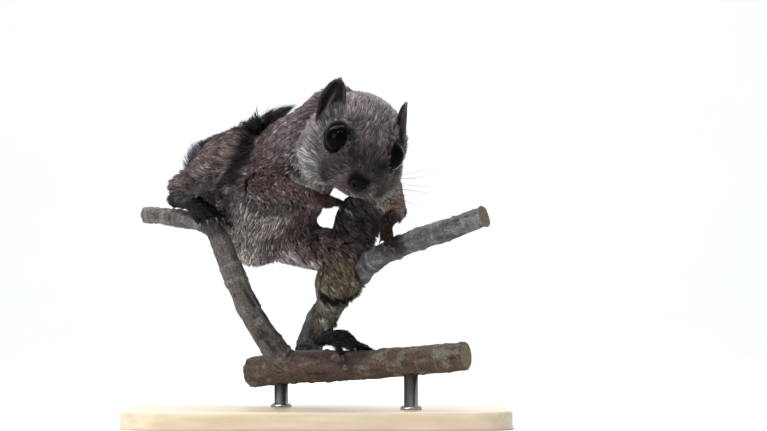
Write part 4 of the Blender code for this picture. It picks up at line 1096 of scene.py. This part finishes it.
# A painted highlight: pale bluish hairs where the sky's light shines through the tail's fringe
SKY_GLINT_HAIRS, SKY_GLINT_AT, SKY_GLINT_REACH = "#B4BAC8", (-45.0, 31.0, 92.0), (6.0, 11.0)
TAIL_BEYOND = 14.0

tail_steps = np.linalg.norm(np.diff(tail_path, axis=0), axis=1).mean()
beyond = np.arange(1, int(TAIL_BEYOND / tail_steps) + 2)[:, None] * tail_steps
long_path = np.vstack([tail_path, tail_path[-1] + tail_tangent[-1] * beyond])
long_across, long_above = (
    np.vstack([rows, np.repeat(rows[-1:], len(beyond), 0)]) for rows in (tail_across, tail_above)
)


def on_tail(station, out, rise):
    """Points at a station along the tail, a distance out to its side and a rise above it."""
    at = np.clip(station, 0, len(long_path) - 1.001)
    low = at.astype(int)
    share = (at - low)[:, None]
    lines = (long_path, long_across, long_above)
    point, across, above = (mixed(rows[low], rows[low + 1], share) for rows in lines)
    return point + across * out[:, None] + above * rise[:, None]


def tail_fringe(count, rng):
    """Blades combed out from both sides of the tail's core, their middles and tips on the tail's curve."""
    place = rng.uniform(0.02, 1, count) ** 0.9
    side = np.where(rng.uniform(size=count) < 0.5, -1.0, 1.0)
    station = place * (len(tail_path) - 1)
    sweep = mixed(*FRINGE_SWEEP, place) * rng.uniform(*SWEEP_SPREAD, count) / tail_steps
    # Short at the root, widest at three quarters, and shorter again to the tip
    taper = np.minimum(1, 0.5 + 4 * place) * (0.75 + 0.75 * place) * (1 - 1.2 * np.maximum(0, place - 0.75))
    spread = rng.uniform(0.12, 1, count) ** 0.7
    reach = FRINGE_REACH * taper * spread * rng.uniform(*REACH_SPREAD, count)
    start = FRINGE_CORE * np.sqrt(spread)
    lift = rng.normal(0, FRINGE_LIFT, count) * (1.15 - spread)
    roots = on_tail(station, side * start, lift * 0.6)
    middles = on_tail(station + sweep * FRINGE_BEND[0], side * (start + reach * FRINGE_BEND[1]), lift * 1.5)
    tips = on_tail(station + sweep, side * (start + reach), lift * 1.7)
    outward = roots - on_tail(station, side * 0, lift * 0)
    normals = unit(long_above[station.astype(int)] * np.sign(lift)[:, None] + 0.2 * outward)
    points, faces = blades(roots, tips, normals, FRINGE_WIDTH * rng.uniform(*FRINGE_WIDTHS, count), middles)
    tint = mixed(levels(BASE_COAT["tail"]), levels(RIM_COLOUR), RIM_SHARE * spread[:, None])
    # Painted highlight: hairs near one place on the tail turn pale bluish, as if lit from behind
    pale = 0.75 * (1 - blend(*SKY_GLINT_REACH, away(roots, SKY_GLINT_AT)))[:, None]
    tint = mixed(tint, levels(SKY_GLINT_HAIRS), pale)
    part = np.full(count, PARTS.index("tail"))
    return dressed("coat_tail_fringe", points, faces, tint, agouti(count, rng), on_map(roots, part)[0])


coat_triangles += tail_fringe(FRINGE_TUFTS, draws)
print("coat triangles in all", coat_triangles)

# %% [markdown]
# The eyes of this night animal are large and black, and fill their lids. Each is a ball with a
# cornea that bulges a little where it looks out. Its iris is so dark that only a brown gleam
# shows near the rim. What the eye of a viewer picks up is the sharp small reflection of a lamp.

# %% Eyes
EYE_RADIUS = 5.2
CORNEA_RISE, CORNEA_SPREAD, EYE_INSET = 0.22, 0.75, 0.12
EYE_ROWS, EYE_COLUMNS = 40, 64
EYE_LOOKS = {"right": (0.42, -0.86, 0.28), "left": (0.42, 0.86, 0.28)}
PUPIL, IRIS, IRIS_FROM = "#040305", "#0C0808", (0.55, 1.15)


def turned(axis, hint=(0.0, 0.0, 1.0)):
    """Two directions across an axis, the first of them square to the hint."""
    first = unit(np.cross(axis, hint))
    return first, np.cross(axis, first)


def head_way(direction):
    """A direction of the head's frame in the model's own."""
    return unit(np.asarray(direction) @ HEAD_AXES)


def closed(rows):
    """Rings of points closed at both ends by a pole: points, then the quads and the end triangles."""
    count, columns = rows.shape[:2]
    points = np.vstack([rows.reshape(-1, 3), rows[0].mean(axis=0), rows[-1].mean(axis=0)])
    number = np.arange(columns)
    after = (number + 1) % columns
    last = (count - 1) * columns
    start_fan = np.stack([after, number, np.full(columns, count * columns)], axis=1)
    end_fan = np.stack([last + number, last + after, np.full(columns, count * columns + 1)], axis=1)
    return points, [grid_faces(count, columns), np.vstack([start_fan, end_fan])]


# A wet cornea over a nearly black iris: smooth, glossy and clear of any bloom
wet_eye = patterned(
    "wet_cornea", 0.03, 1.376, 0.5, [(0.3, "#909090"), (0.7, "#FFFFFF")], own_colour=True, specular=0.05
)


def eyeball(side):
    """A sphere by the turn round its axis and the angle from it, raised where the cornea is."""
    middle = middle_of(f"eye_{side}")
    axis = head_way(EYE_LOOKS[side])
    first, second = turned(axis)
    angle = np.linspace(0.02, math.pi - 0.02, EYE_ROWS)[:, None, None]
    turn = turns(EYE_COLUMNS)[None, :, None]
    radius = EYE_RADIUS + CORNEA_RISE * np.exp(-((angle / CORNEA_SPREAD) ** 2)) - EYE_INSET
    way = axis * np.cos(angle) + (first * np.cos(turn) + second * np.sin(turn)) * np.sin(angle)
    points, faces = closed(middle + way * radius)
    ball = piece(f"eyeball_{side}", points, faces, wet_eye)
    share = np.append(np.repeat(blend(*IRIS_FROM, angle[:, 0, 0]), EYE_COLUMNS), [0, 1])[:, None]
    set_colours(ball, mixed(levels(PUPIL), levels(IRIS), share))
    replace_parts(ball, f"eye_{side}")


for side in SIDES:
    eyeball(side)
print("eyes of radius", EYE_RADIUS)

# %% [markdown]
# Bare dark lids hold the eye in an almond that comes to a point towards the nose. They are a tube
# laid round the ball. Its ring is pulled out at the inner corner and flattened against the eye.

# %% Lids
LID_OPENING, LID_RISE, LID_HALF = 4.85, 1.9, 0.38
CORNER_PULL, CORNER_WIDTH = 1.25, 0.42
LID_STEPS, LID_SIDES = 96, 12
LID_ON_BALL, LID_HUGS, LID_BROAD, CORNER_SINKS = 5.15, 0.35, 1.3, 0.4

# Bare eyelid skin: nearly black, with a faint gloss
lid_skin = patterned(
    "bare_lid_skin", 0.6, 1.4, 0.4, [(0.3, "#070506"), (0.75, "#120E0F")], bump=(0.5, 0.1), detail=3.0,
    specular=0.1,
)


def lids(side):
    """A flattened tube round the eye's axis, its ring widened at the corner towards the nose."""
    middle = middle_of(f"eye_{side}")
    axis = head_way(EYE_LOOKS[side])
    first, second = turned(axis)
    turn = turns(LID_STEPS)
    out = first * np.cos(turn)[:, None] + second * np.sin(turn)[:, None]
    toward = unit(nose_middle - middle - axis * ((nose_middle - middle) @ axis))
    off = np.arccos(np.clip(out @ toward, -1, 1))
    pull = CORNER_PULL * np.exp(-((off / CORNER_WIDTH) ** 2))
    radius = LID_OPENING + pull
    on_ball = np.sqrt(EYE_RADIUS**2 - np.minimum(radius, LID_ON_BALL) ** 2)
    sunk = mixed(LID_RISE, on_ball, LID_HUGS)
    ring_line = middle + axis * (sunk - CORNER_SINKS * pull)[:, None] + out * radius[:, None]
    around = turns(LID_SIDES)[None, :, None]
    section = out[:, None] * np.cos(around) * (LID_HALF * LID_BROAD) + axis * np.sin(around) * LID_HALF
    points = (ring_line[:, None] + section).reshape(-1, 3)
    piece(f"lids_{side}", points, grid_faces(LID_STEPS + 1, LID_SIDES) % len(points), lid_skin)


for side in SIDES:
    lids(side)
print("lids round", len(SIDES), "eyes")

# %% [markdown]
# The nose pad is bare, moist and finely pebbled. A groove runs down its middle and each nostril is
# a comma that opens to the side. It is an ellipsoid whose radius dips by bell-shaped amounts near
# the groove and along the commas.

# %% Nose
NOSE_RADII = np.array([2.2, 3.1, 1.75])
GROOVE_DEPTH, GROOVE_HALF = 0.4, 0.22
NOSTRIL_DEPTH, NOSTRIL_HALF = 1.1, 0.26
# A nostril's comma, out to its side and up from the nose's middle: its start, and how far it runs
COMMA_START, COMMA_RUN = (1.35, -0.55), (0.5, 0.75)

# Bare nose skin: dark, moist, pebbled at about 0.25 mm
nose_skin = patterned(
    "moist_nose_skin", 0.34, 1.42, 0.25, [(0.0, "#0E0A0B"), (0.8, "#070506")], bump=(0.6, 0.08), pebbled=True,
    specular=0.09,
)

angle = np.linspace(0.03, math.pi - 0.03, 60)[:, None]
turn = turns(90)[None, :]
nose_ways = np.stack(
    [np.cos(angle) * np.ones_like(turn), np.sin(angle) * np.cos(turn), np.sin(angle) * np.sin(turn)], axis=-1
)
nose_local = nose_ways * NOSE_RADII
along_comma = np.linspace(0, 1, 7)
comma = np.stack([COMMA_RUN[0] * along_comma**2, COMMA_RUN[1] * along_comma], axis=1) + COMMA_START
dip = GROOVE_DEPTH * np.exp(-((nose_local[..., 1] / GROOVE_HALF) ** 2)) * blend(1.6, -0.4, nose_local[..., 2])
for sign in BOTH:
    near = np.min([np.hypot(nose_local[..., 1] - sign * y, nose_local[..., 2] - z) for y, z in comma], axis=0)
    dip = dip + NOSTRIL_DEPTH * np.exp(-((near / NOSTRIL_HALF) ** 2)) * (nose_local[..., 0] > 0)
nose_rows = from_head(np.array(NOSE_PLACE) + nose_local - nose_ways * dip[..., None])
nose_pad = piece("nose_pad", *closed(nose_rows), nose_skin)
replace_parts(nose_pad, "nose")
print("nose dips by up to", dip.max().round(2))

# %% [markdown]
# The ears are thin upright leaves whose middle is pressed back into a cup. Their outside is
# thinly furred, the cup is bare skin painted dark with shade, and a fold of skin stands in it.
# Each is a closed sheet: for every height, one loop runs up the front from edge to edge and back
# behind it.

# %% Ears
EAR_BASE, EAR_HEIGHT, EAR_WIDTH, EAR_WIDEST, EAR_POINT = (-2.8, 13.6, 8.0), 12.3, 8.2, 0.42, 1.5
EAR_CUP, EAR_THICKNESS, EAR_FOOT, EAR_SUNK = 3.4, 0.75, 2.0, 4.5
EAR_LEAN = {"right": (-0.37, 0.0, 0.93), "left": (-0.37, -0.22, 0.90)}
EAR_FACING = {"right": (0.85, 0.40, 0.30), "left": (0.20, 0.95, 0.20)}
EAR_ROWS, EAR_COLUMNS = 56, 88
# The fold in the cup: how high it stands, where across it starts, how it leans and its half width
FOLD_HEIGHT, FOLD_AT, FOLD_LEAN, FOLD_HALF = 1.1, 0.28, 0.3, 0.16
EAR_FOOT_WIDTH, EAR_THIN_EDGE, EAR_BACKWARD = 0.72, 0.006, 1.2
EAR_TUFTS = 5200
# The cup's nearly black colour is painted shade in the hollow of the ear
EAR_OUTER, EAR_CUP_SHADE, EAR_RIM, EAR_FOLD = "#4B4042", "#19151A", "#857876", "#7C6866"

# Thin ear skin with a velvet of very short hair: matt and soft
ear_skin = patterned(
    "thin_ear_skin", 0.7, 1.45, 0.3, [(0.3, "#A0A0A0"), (0.7, "#FFFFFF")], own_colour=True, bump=(0.5, 0.15),
    detail=4.0, specular=0.1,
)


def ear_sheet(side):
    """Height u and the loop w: across by cos w, front or back by sin w, with cup and raised fold."""
    sign = SIDES[side]
    mirror = np.array([1, sign, 1])
    up = unit(np.array(EAR_LEAN[side]) * mirror)
    facing = np.array(EAR_FACING[side]) * mirror
    front = unit(facing - up * (facing @ up))
    across = np.cross(up, front)
    u = np.sin(np.linspace(0, math.pi / 2, EAR_ROWS))[:, None]
    w = turns(EAR_COLUMNS)[None, :]
    v, layer = np.cos(w), 0.5 - 0.5 * np.sign(np.sin(w)) * np.abs(np.sin(w)) ** 0.4
    below = mixed(EAR_FOOT_WIDTH, 1, np.sin(math.pi / 2 * np.minimum(1, u / EAR_WIDEST)))
    narrows = (np.maximum(0, u - EAR_WIDEST) / (1 - EAR_WIDEST)) ** EAR_POINT
    above = np.sqrt(np.maximum(EAR_THIN_EDGE, 1 - narrows))
    depth = EAR_CUP * (1 - 0.45 * u) * above
    thick = EAR_THICKNESS * (1.15 - 0.45 * u) * layer
    fold = FOLD_HEIGHT * np.exp(-(((v * sign - FOLD_AT + FOLD_LEAN * u) / FOLD_HALF) ** 2))
    fold = fold * blend(0.85, 0.35, u) * blend(0.05, 0.2, u) * (layer < 0.5)
    height = EAR_HEIGHT * u - EAR_FOOT - (EAR_SUNK - EAR_FOOT) * (1 - u) ** 3
    back = depth * (1 - v**2) + thick + EAR_BACKWARD * u - fold
    aside = across * (EAR_WIDTH / 2 * below * above * v)[..., None]
    local = np.array(EAR_BASE) * mirror + up * height[..., None] + aside
    return from_head(local - front * back[..., None]), u + 0 * v, v + 0 * u, layer + 0 * u, fold


def ear(side):
    """An ear with its colours: a bare cup painted dark with shade, a paler rim and fold, and a grey-brown
    back.
    """
    rows, u, v, layer, fold = ear_sheet(side)
    points, faces = closed(rows)
    rim = blend(0.72, 0.97, np.abs(v)) + blend(0.9, 1.0, u)
    inside = (layer < 0.5)[..., None]
    # The cup is painted dark with shade, paling to the fold's own colour where the fold stands up
    shaded_cup = levels(EAR_CUP_SHADE)
    cup = shaded_cup + (levels(EAR_FOLD) - shaded_cup) * np.clip(fold / 0.9, 0, 1)[..., None]
    tint = np.where(inside, cup, levels(EAR_OUTER))
    tint = tint + (levels(EAR_RIM) - tint) * np.clip(rim, 0, 1)[..., None] * np.where(inside, 0.8, 0.4)
    made = piece(f"ear_leaf_{side}", points, faces, ear_skin)
    set_colours(made, np.vstack([tint.reshape(-1, 3), tint[0].mean(axis=0), tint[-1].mean(axis=0)]))
    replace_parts(made, f"ear_{side}")


def ear_fur(side, rng):
    """Short tufts that point to the ear's tip, on its back and its foot and along its rim and fold."""
    rows, u, v, layer, fold = ear_sheet(side)
    i = rng.integers(4, EAR_ROWS - 2, EAR_TUFTS)
    k = rng.integers(0, EAR_COLUMNS, EAR_TUFTS)
    on_rim = (np.abs(v[i, k]) > 0.8) | (u[i, k] > 0.93) | (fold[i, k] > 0.55)
    kept = (layer[i, k] > 0.5) | on_rim | (u[i, k] < 0.3)
    i, k, on_rim = i[kept], k[kept], on_rim[kept]
    ahead, beside = rows[i + 1, k] - rows[i, k], rows[i, (k + 1) % EAR_COLUMNS] - rows[i, k - 1]
    along, aside = rng.uniform(0, 1, (len(i), 1)), rng.uniform(-0.25, 0.25, (len(i), 1))
    roots = rows[i, k] + ahead * along + beside * aside
    normals = unit(np.cross(beside, ahead))
    heading = unit(ahead) + 0.35 * unit(beside) * rng.normal(0, 1, (len(i), 1))
    heading = heading + normals * rng.uniform(0.2, 0.55, (len(i), 1))
    length = np.where(on_rim, 1.5, 1.15) * rng.uniform(0.6, 1.2, len(i)) * (1.25 - 0.45 * u[i, k])
    tips = roots + unit(heading) * length[:, None]
    points, faces = blades(roots - normals * 0.1, tips, normals, rng.uniform(0.13, 0.22, len(i)))
    tint = np.where(on_rim[:, None], levels(EAR_RIM), levels(EAR_OUTER))
    # The first cell of the map that no part of the skin uses is shared by the two ears
    cell = (np.array([len(PARTS) % MAP_COLUMNS, len(PARTS) // MAP_COLUMNS]) + 0.5) / (MAP_COLUMNS, MAP_ROWS)
    half = MAP_FILL / 2 / np.array([MAP_COLUMNS * 2, MAP_ROWS])
    middle = cell + np.array([SIDES[side] / 2, 0.0]) * MAP_FILL / MAP_COLUMNS
    places = middle + np.stack([k / EAR_COLUMNS * 2 - 1, u[i, k] * 2 - 1], axis=1) * half * 0.9
    return dressed(f"coat_ear_{side}", points, faces, tint, agouti(len(i), rng), places)


for side in SIDES:
    ear(side)
    coat_triangles += ear_fur(side, draws)
print("ears", EAR_HEIGHT, "mm high")

# %% [markdown]
# Whiskers are stiff single hairs that taper to nothing. They stand in rows on the swelling beside
# the nose. The rear ones are the longest and sweep back past the cheeks.

# %% Whiskers
WHISKER_ROWS = ((-1.2, 4), (-2.6, 4), (-4.0, 4), (-5.2, 3))
WHISKER_LENGTH = (15.0, 30.0)
WHISKER_HALF = 0.075
WHISKER_RINGS, WHISKER_SIDES = 12, 5
# The first root of a row and how far the row runs back, out and down to its last one
ROW_START, ROW_RUN = np.array([16.2, 4.6, 0.0]), np.array([-3.4, 1.6, -0.5])
# Which way the first whisker points, how that changes along a row and from row to row, how far
# each one sags to its tip, and how loosely they all lie
POINTS = np.array([0.35, 1.0, 0.32])
ALONG_ROW, NEXT_ROW = np.array([-0.75, 0.0, 0.0]), np.array([0.0, 0.0, -0.16])
SAG, WHISKER_LOOSE = np.array([-0.30, 0.0, -0.16]), 0.07

# Whisker: one smooth stiff hair of dark horn
whisker_horn = patterned("whisker_horn", 0.3, 1.55, 3.0, [(0.35, "#1E191A"), (0.7, "#3A3231")])


def hair_tube(path, halves, sides):
    """A round tube along a path with a half thickness at each step."""
    _, across, above = frames_on(path, (0.31, 0.17, 0.93))
    turn = turns(sides)[None, :, None]
    way = across[:, None] * np.cos(turn) + above[:, None] * np.sin(turn)
    return closed(path[:, None] + way * halves[:, None, None])


def joined(tubes):
    """Several closed tubes as one list of points and lists of faces."""
    starts = np.cumsum([0] + [len(points) for points, _ in tubes[:-1]])
    points = np.vstack([points for points, _ in tubes])
    kinds = [np.vstack([faces[kind] + start for (_, faces), start in zip(tubes, starts)]) for kind in (0, 1)]
    return points, kinds


def whiskers(side, rng):
    """Rows of whiskers beside the nose: out, the front ones forward and the rear ones back, and drooping."""
    sign = SIDES[side]
    tubes = []
    for row, (height, count) in enumerate(WHISKER_ROWS):
        for place in np.linspace(0, 1, count):
            root = (ROW_START + ROW_RUN * place + (0, 0, height)) * (1, sign, 1)
            way = (POINTS + ALONG_ROW * place + NEXT_ROW * row) * (1, sign, 1)
            way = unit(way + rng.normal(0, WHISKER_LOOSE, 3))
            longer = (WHISKER_LENGTH[1] - WHISKER_LENGTH[0]) * place * rng.uniform(0.8, 1.0)
            length = WHISKER_LENGTH[0] + longer
            t = np.linspace(0, 1, WHISKER_RINGS)[:, None]
            path = from_head(root + (way * t + SAG * t**2) * length)
            tubes.append(hair_tube(path, WHISKER_HALF * (1.02 - t[:, 0]) ** 0.8, WHISKER_SIDES))
    piece(f"whiskers_{side}", *joined(tubes), whisker_horn)


for side in SIDES:
    whiskers(side, draws)
print("whiskers a side", sum(count for _, count in WHISKER_ROWS))

# %% [markdown]
# The claws are short hooked cones of dark horn, paler where they leave the toe. Each is a round
# tube that narrows to a point and bends over its tip, laid along the digit's own axis.

# %% Claws
CLAW_LENGTH, CLAW_HALF, CLAW_ARCH = 2.5, 0.42, 0.38
CLAW_RINGS, CLAW_SIDES = 14, 14
CLAW_ROOT, CLAW_TIP = "#6B5A50", "#241D1A"

# Claw horn: smooth and slightly glossy, with a faint mottle
claw_horn = patterned("claw_horn", 0.32, 1.55, 0.2, [(0.3, "#B4B4B4"), (0.7, "#FFFFFF")], own_colour=True)


def claws(name):
    """The claws of one paw: cones from inside each toe to its tip, arched upwards on the way."""
    share = np.linspace(0, 1, CLAW_RINGS)[:, None]
    halves = CLAW_HALF * (1 - share[:, 0]) ** 0.6 + 0.03
    tubes = []
    for tip, axis in zip(*paw_tips[name]):
        rise = unit(np.array([0.0, 0.0, 1.0]) - axis * axis[2])
        path = tip + axis * CLAW_LENGTH * (share - 1) + rise * CLAW_ARCH * np.sin(math.pi * share)
        tubes.append(hair_tube(path, halves, CLAW_SIDES))
    points, faces = joined(tubes)
    made = piece(f"claws_{name}", points, faces, claw_horn)
    along = np.append(np.repeat(share[:, 0], CLAW_SIDES), [0, 1])[:, None]
    set_colours(made, np.tile(mixed(levels(CLAW_ROOT), levels(CLAW_TIP), along), (len(tubes), 1)))
    return len(tubes)


print("claws", sum(claws(name) for name in PAWS))

# %% [markdown]
# The perch is a short length of forked branch. Its bark follows three scales: slow swellings,
# rings and ridges of a millimetre or so, and fine roughness that only the bump carries. The same
# relief also sets the colour, because dirt and shade gather in furrows.
# A cut end shows pale wood with its year rings.
# Where the toes hold on, the relief is worn down so that they lie on the bark and not in it.

# %% Branches
# Places along each branch, with its half thickness there
LIMB = (
    (-23.0, 22.0, 17.6, 5.6), (-8.6, 11.0, 19.6, 5.9), (7.4, -1.0, 20.3, 5.5),
    (18.0, -11.0, 21.0, 5.2), (31.0, -20.0, 22.0, 5.0), (49.0, -28.5, 23.8, 4.9),
)
BRANCH_LEFT = (
    (-60.5, 31.5, 72.3, 3.1), (-46.3, 19.0, 70.3, 3.3), (-36.0, 8.0, 66.6, 3.7), (-30.0, 4.0, 54.0, 4.1),
    (-23.4, 4.0, 39.0, 4.4), (-14.5, 8.0, 25.0, 4.8), (-10.0, 11.0, 20.0, 4.4),
)
BRANCH_RIGHT = (
    (54.3, -49.0, 69.0, 3.7), (40.2, -41.0, 64.1, 3.9), (27.4, -30.0, 59.9, 4.0),
    (18.6, -17.0, 55.5, 4.1), (11.8, 9.0, 49.5, 4.2), (5.4, 20.0, 44.0, 4.3),
    (-0.5, 24.0, 36.0, 4.5), (-4.0, 17.0, 25.0, 4.8), (-4.5, 12.0, 20.5, 4.4),
)
# Colours of each branch: its bark, its ridges and its furrows
BARKS = {
    "perch_limb": (LIMB, "#5C4A40", "#7A6656", "#2A211D"),
    "perch_branch_left": (BRANCH_LEFT, "#6A605C", "#8B8380", "#2E2927"),
    "perch_branch_right": (BRANCH_RIGHT, "#636064", "#918D92", "#2B292B"),
}
BARK_STEP, BARK_SIDES = 0.45, 96
RIDGE_HEIGHT, RING_HEIGHT, SWELLING, RING_FROM, BARK_INSET, BARK_WORN = 0.32, 0.36, 0.22, 0.25, 0.4, 0.3
CUT_RINGS = np.array([0.06, 0.12, 0.2, 0.28, 0.36, 0.44, 0.52, 0.6, 0.68, 0.75, 0.82, 0.88, 0.93])
CUT_PALE, CUT_DARK = "#9A8467", "#77604A"
LICHEN, LICHEN_SHARE = "#8C9384", 0.6

# Bark of a thin branch: dry, without gloss, and rough at about 0.7 mm
bark = patterned(
    "dry_bark", 0.88, 1.5, 0.7, [(0.32, "#808080"), (0.68, "#FFFFFF")], own_colour=True, bump=(0.9, 0.3),
    detail=6.0, rough=0.7,
)


def branch(name, knots, colours, seed):
    """Rings along the branch's line: its own thickness, ridges stretched along it, rings across it."""
    lengths = np.linalg.norm(np.diff(np.array(knots)[:, :3], axis=0), axis=1)
    count = int(lengths.sum() / BARK_STEP)
    rows = smooth_curve(knots, count)
    path, half = rows[:, :3], rows[:, 3]
    _, across, above = frames_on(path, (0.3, -0.5, 0.8))
    along = np.append(0, np.cumsum(np.linalg.norm(np.diff(path, axis=0), axis=1)))
    turn = turns(BARK_SIDES)
    way = across[:, None] * np.cos(turn)[None, :, None] + above[:, None] * np.sin(turn)[None, :, None]
    # The branch laid out straight: patterns can stretch along it, and meet round it without a seam
    thick = half[:, None]
    lengthwise = np.repeat(along[:, None], BARK_SIDES, 1)
    flat = np.stack([np.cos(turn) * thick, np.sin(turn) * thick, lengthwise], axis=-1).reshape(-1, 3)
    ridges = noise(flat * (1, 1, 0.28), 1.5, seed) + 0.5 * noise(flat * (1, 1, 0.4), 0.7, seed + 1)
    rings = noise(flat * (0.12, 0.12, 1), 1.3, seed + 2)
    rings = np.where(rings > RING_FROM, (rings - RING_FROM) * 2, 0)
    slow = noise(flat * (0.5, 0.5, 0.6), 5.0, seed + 3)
    relief = (RIDGE_HEIGHT * ridges + RING_HEIGHT * rings + SWELLING * slow).reshape(count, BARK_SIDES)
    smooth = path[:, None] + way * half[:, None, None]
    worn = blend(6.0, 2.5, np.min([away(smooth, tip) for tip in all_tips], axis=0))
    relief = relief * (1 - 0.7 * worn) - BARK_WORN * worn
    spread = half[:, None] - BARK_INSET + relief
    bark_rows = path[:, None] + way * spread[..., None]
    cuts = [path[end] + way[end] * (spread[end] * CUT_RINGS[:, None])[..., None] for end in (0, -1)]
    points, faces = closed(np.concatenate([cuts[0], bark_rows, cuts[1][::-1]]))
    plain, ridge, furrow = (levels(colour) for colour in colours)
    high = blend(0.05, 0.45, relief)[..., None]
    low = blend(-0.08, -0.38, relief)[..., None]
    tint = mixed(mixed(plain, ridge, high), furrow, low)
    patches = blend(0.25, 0.6, noise(flat, 3.2, seed + 4) + 0.3 * noise(flat, 0.8, seed + 5))
    tint = mixed(tint, levels(LICHEN), LICHEN_SHARE * patches.reshape(count, BARK_SIDES, 1))
    made = piece(f"{name}_bark", points, faces, bark)
    year = (np.arange(len(CUT_RINGS)) % 2)[:, None, None]
    cut = mixed(levels(CUT_PALE), levels(CUT_DARK), year) + np.zeros((1, BARK_SIDES, 1))
    tint = np.concatenate([cut, tint, cut[::-1]]).reshape(-1, 3)
    set_colours(made, np.vstack([tint, levels(CUT_DARK), levels(CUT_DARK)]))
    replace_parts(made, name)


for number, (name, (knots, *colours)) in enumerate(BARKS.items()):
    branch(name, knots, colours, 60 + 10 * number)
print("branches", ", ".join(BARKS))

# %% [markdown]
# The model stands on a flat plate of lacquered beech with two steel rods. It is a plain museum
# stand, and has nothing to do with the animal. The plate is a rounded rectangle carried over a
# profile with a softened edge, and the rods are turned, with a small collar at the foot.

# %% Stand
PLATE_HALF, PLATE_TOP, PLATE_CORNER, PLATE_EDGE = np.array([64.0, 49.0]), 6.0, 14.0, 1.0
PLATE_INSETS = (40, 8)
RODS = {"stand_rod_rear": (-13.0, 14.2), "stand_rod_front": (31.0, -20.0)}
ROD_PROFILE = ((6.0, 0.0), (6.0, 3.6), (6.7, 3.6), (7.2, 3.1), (7.4, 2.4), (17.6, 2.4))

# Beech under clear lacquer: fine short flecks in straight grain
beech = patterned(
    "lacquered_beech", 0.36, 1.5, 2.2, [(0.3, "#C9B294"), (0.7, "#DCC9AE")], detail=5.0, rough=0.6,
    stretch=(0.12, 1.0, 1.0),
)


def plate():
    """A rounded rectangle for each height of a profile: the inset shrinks it and its corners alike."""
    turn = turns(160) + 0.01
    around = np.stack([np.cos(turn), np.sin(turn)], axis=1)
    edge = np.linspace(0, math.pi / 2, 7)
    lower, rise, fall = PLATE_EDGE * 0.5, 1 - np.sin(edge), 1 - np.cos(edge)
    inset = np.concatenate([PLATE_INSETS, [lower], lower * rise, PLATE_EDGE * fall, PLATE_INSETS[::-1]])
    height = np.concatenate([[0, 0, 0], lower * fall, PLATE_TOP - PLATE_EDGE * rise, [PLATE_TOP] * 2])
    corner = np.sign(around) * (PLATE_HALF - PLATE_CORNER)
    outline = corner[None] + around[None] * np.maximum(PLATE_CORNER - inset, 0.3)[:, None, None]
    shrink = np.minimum(1, (PLATE_HALF[0] - np.maximum(inset - PLATE_CORNER, 0)) / PLATE_HALF[0])
    heights = np.repeat(height[:, None, None], len(turn), 1)
    rows = np.concatenate([outline * shrink[:, None, None], heights], axis=2)
    return piece("stand_plate", *closed(rows), beech)


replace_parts(plate(), "stand_base")

# Bright drawn steel rod, with a fine broken grain
steel = patterned("turned_steel", 0.28, 1.5, 0.35, [(0.3, "#A9AAAC"), (0.7, "#C6C7C9")], metallic=1.0)

for name, (x, y) in RODS.items():
    heights, halves = np.array(ROD_PROFILE).T[..., None]
    turn = turns(48)[None, :]
    rows = np.stack([x + halves * np.cos(turn), y + halves * np.sin(turn), heights + 0 * turn], axis=-1)
    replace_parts(piece(f"{name}_turned", *closed(rows), steel), name)
print("stand of", len(RODS), "rods")
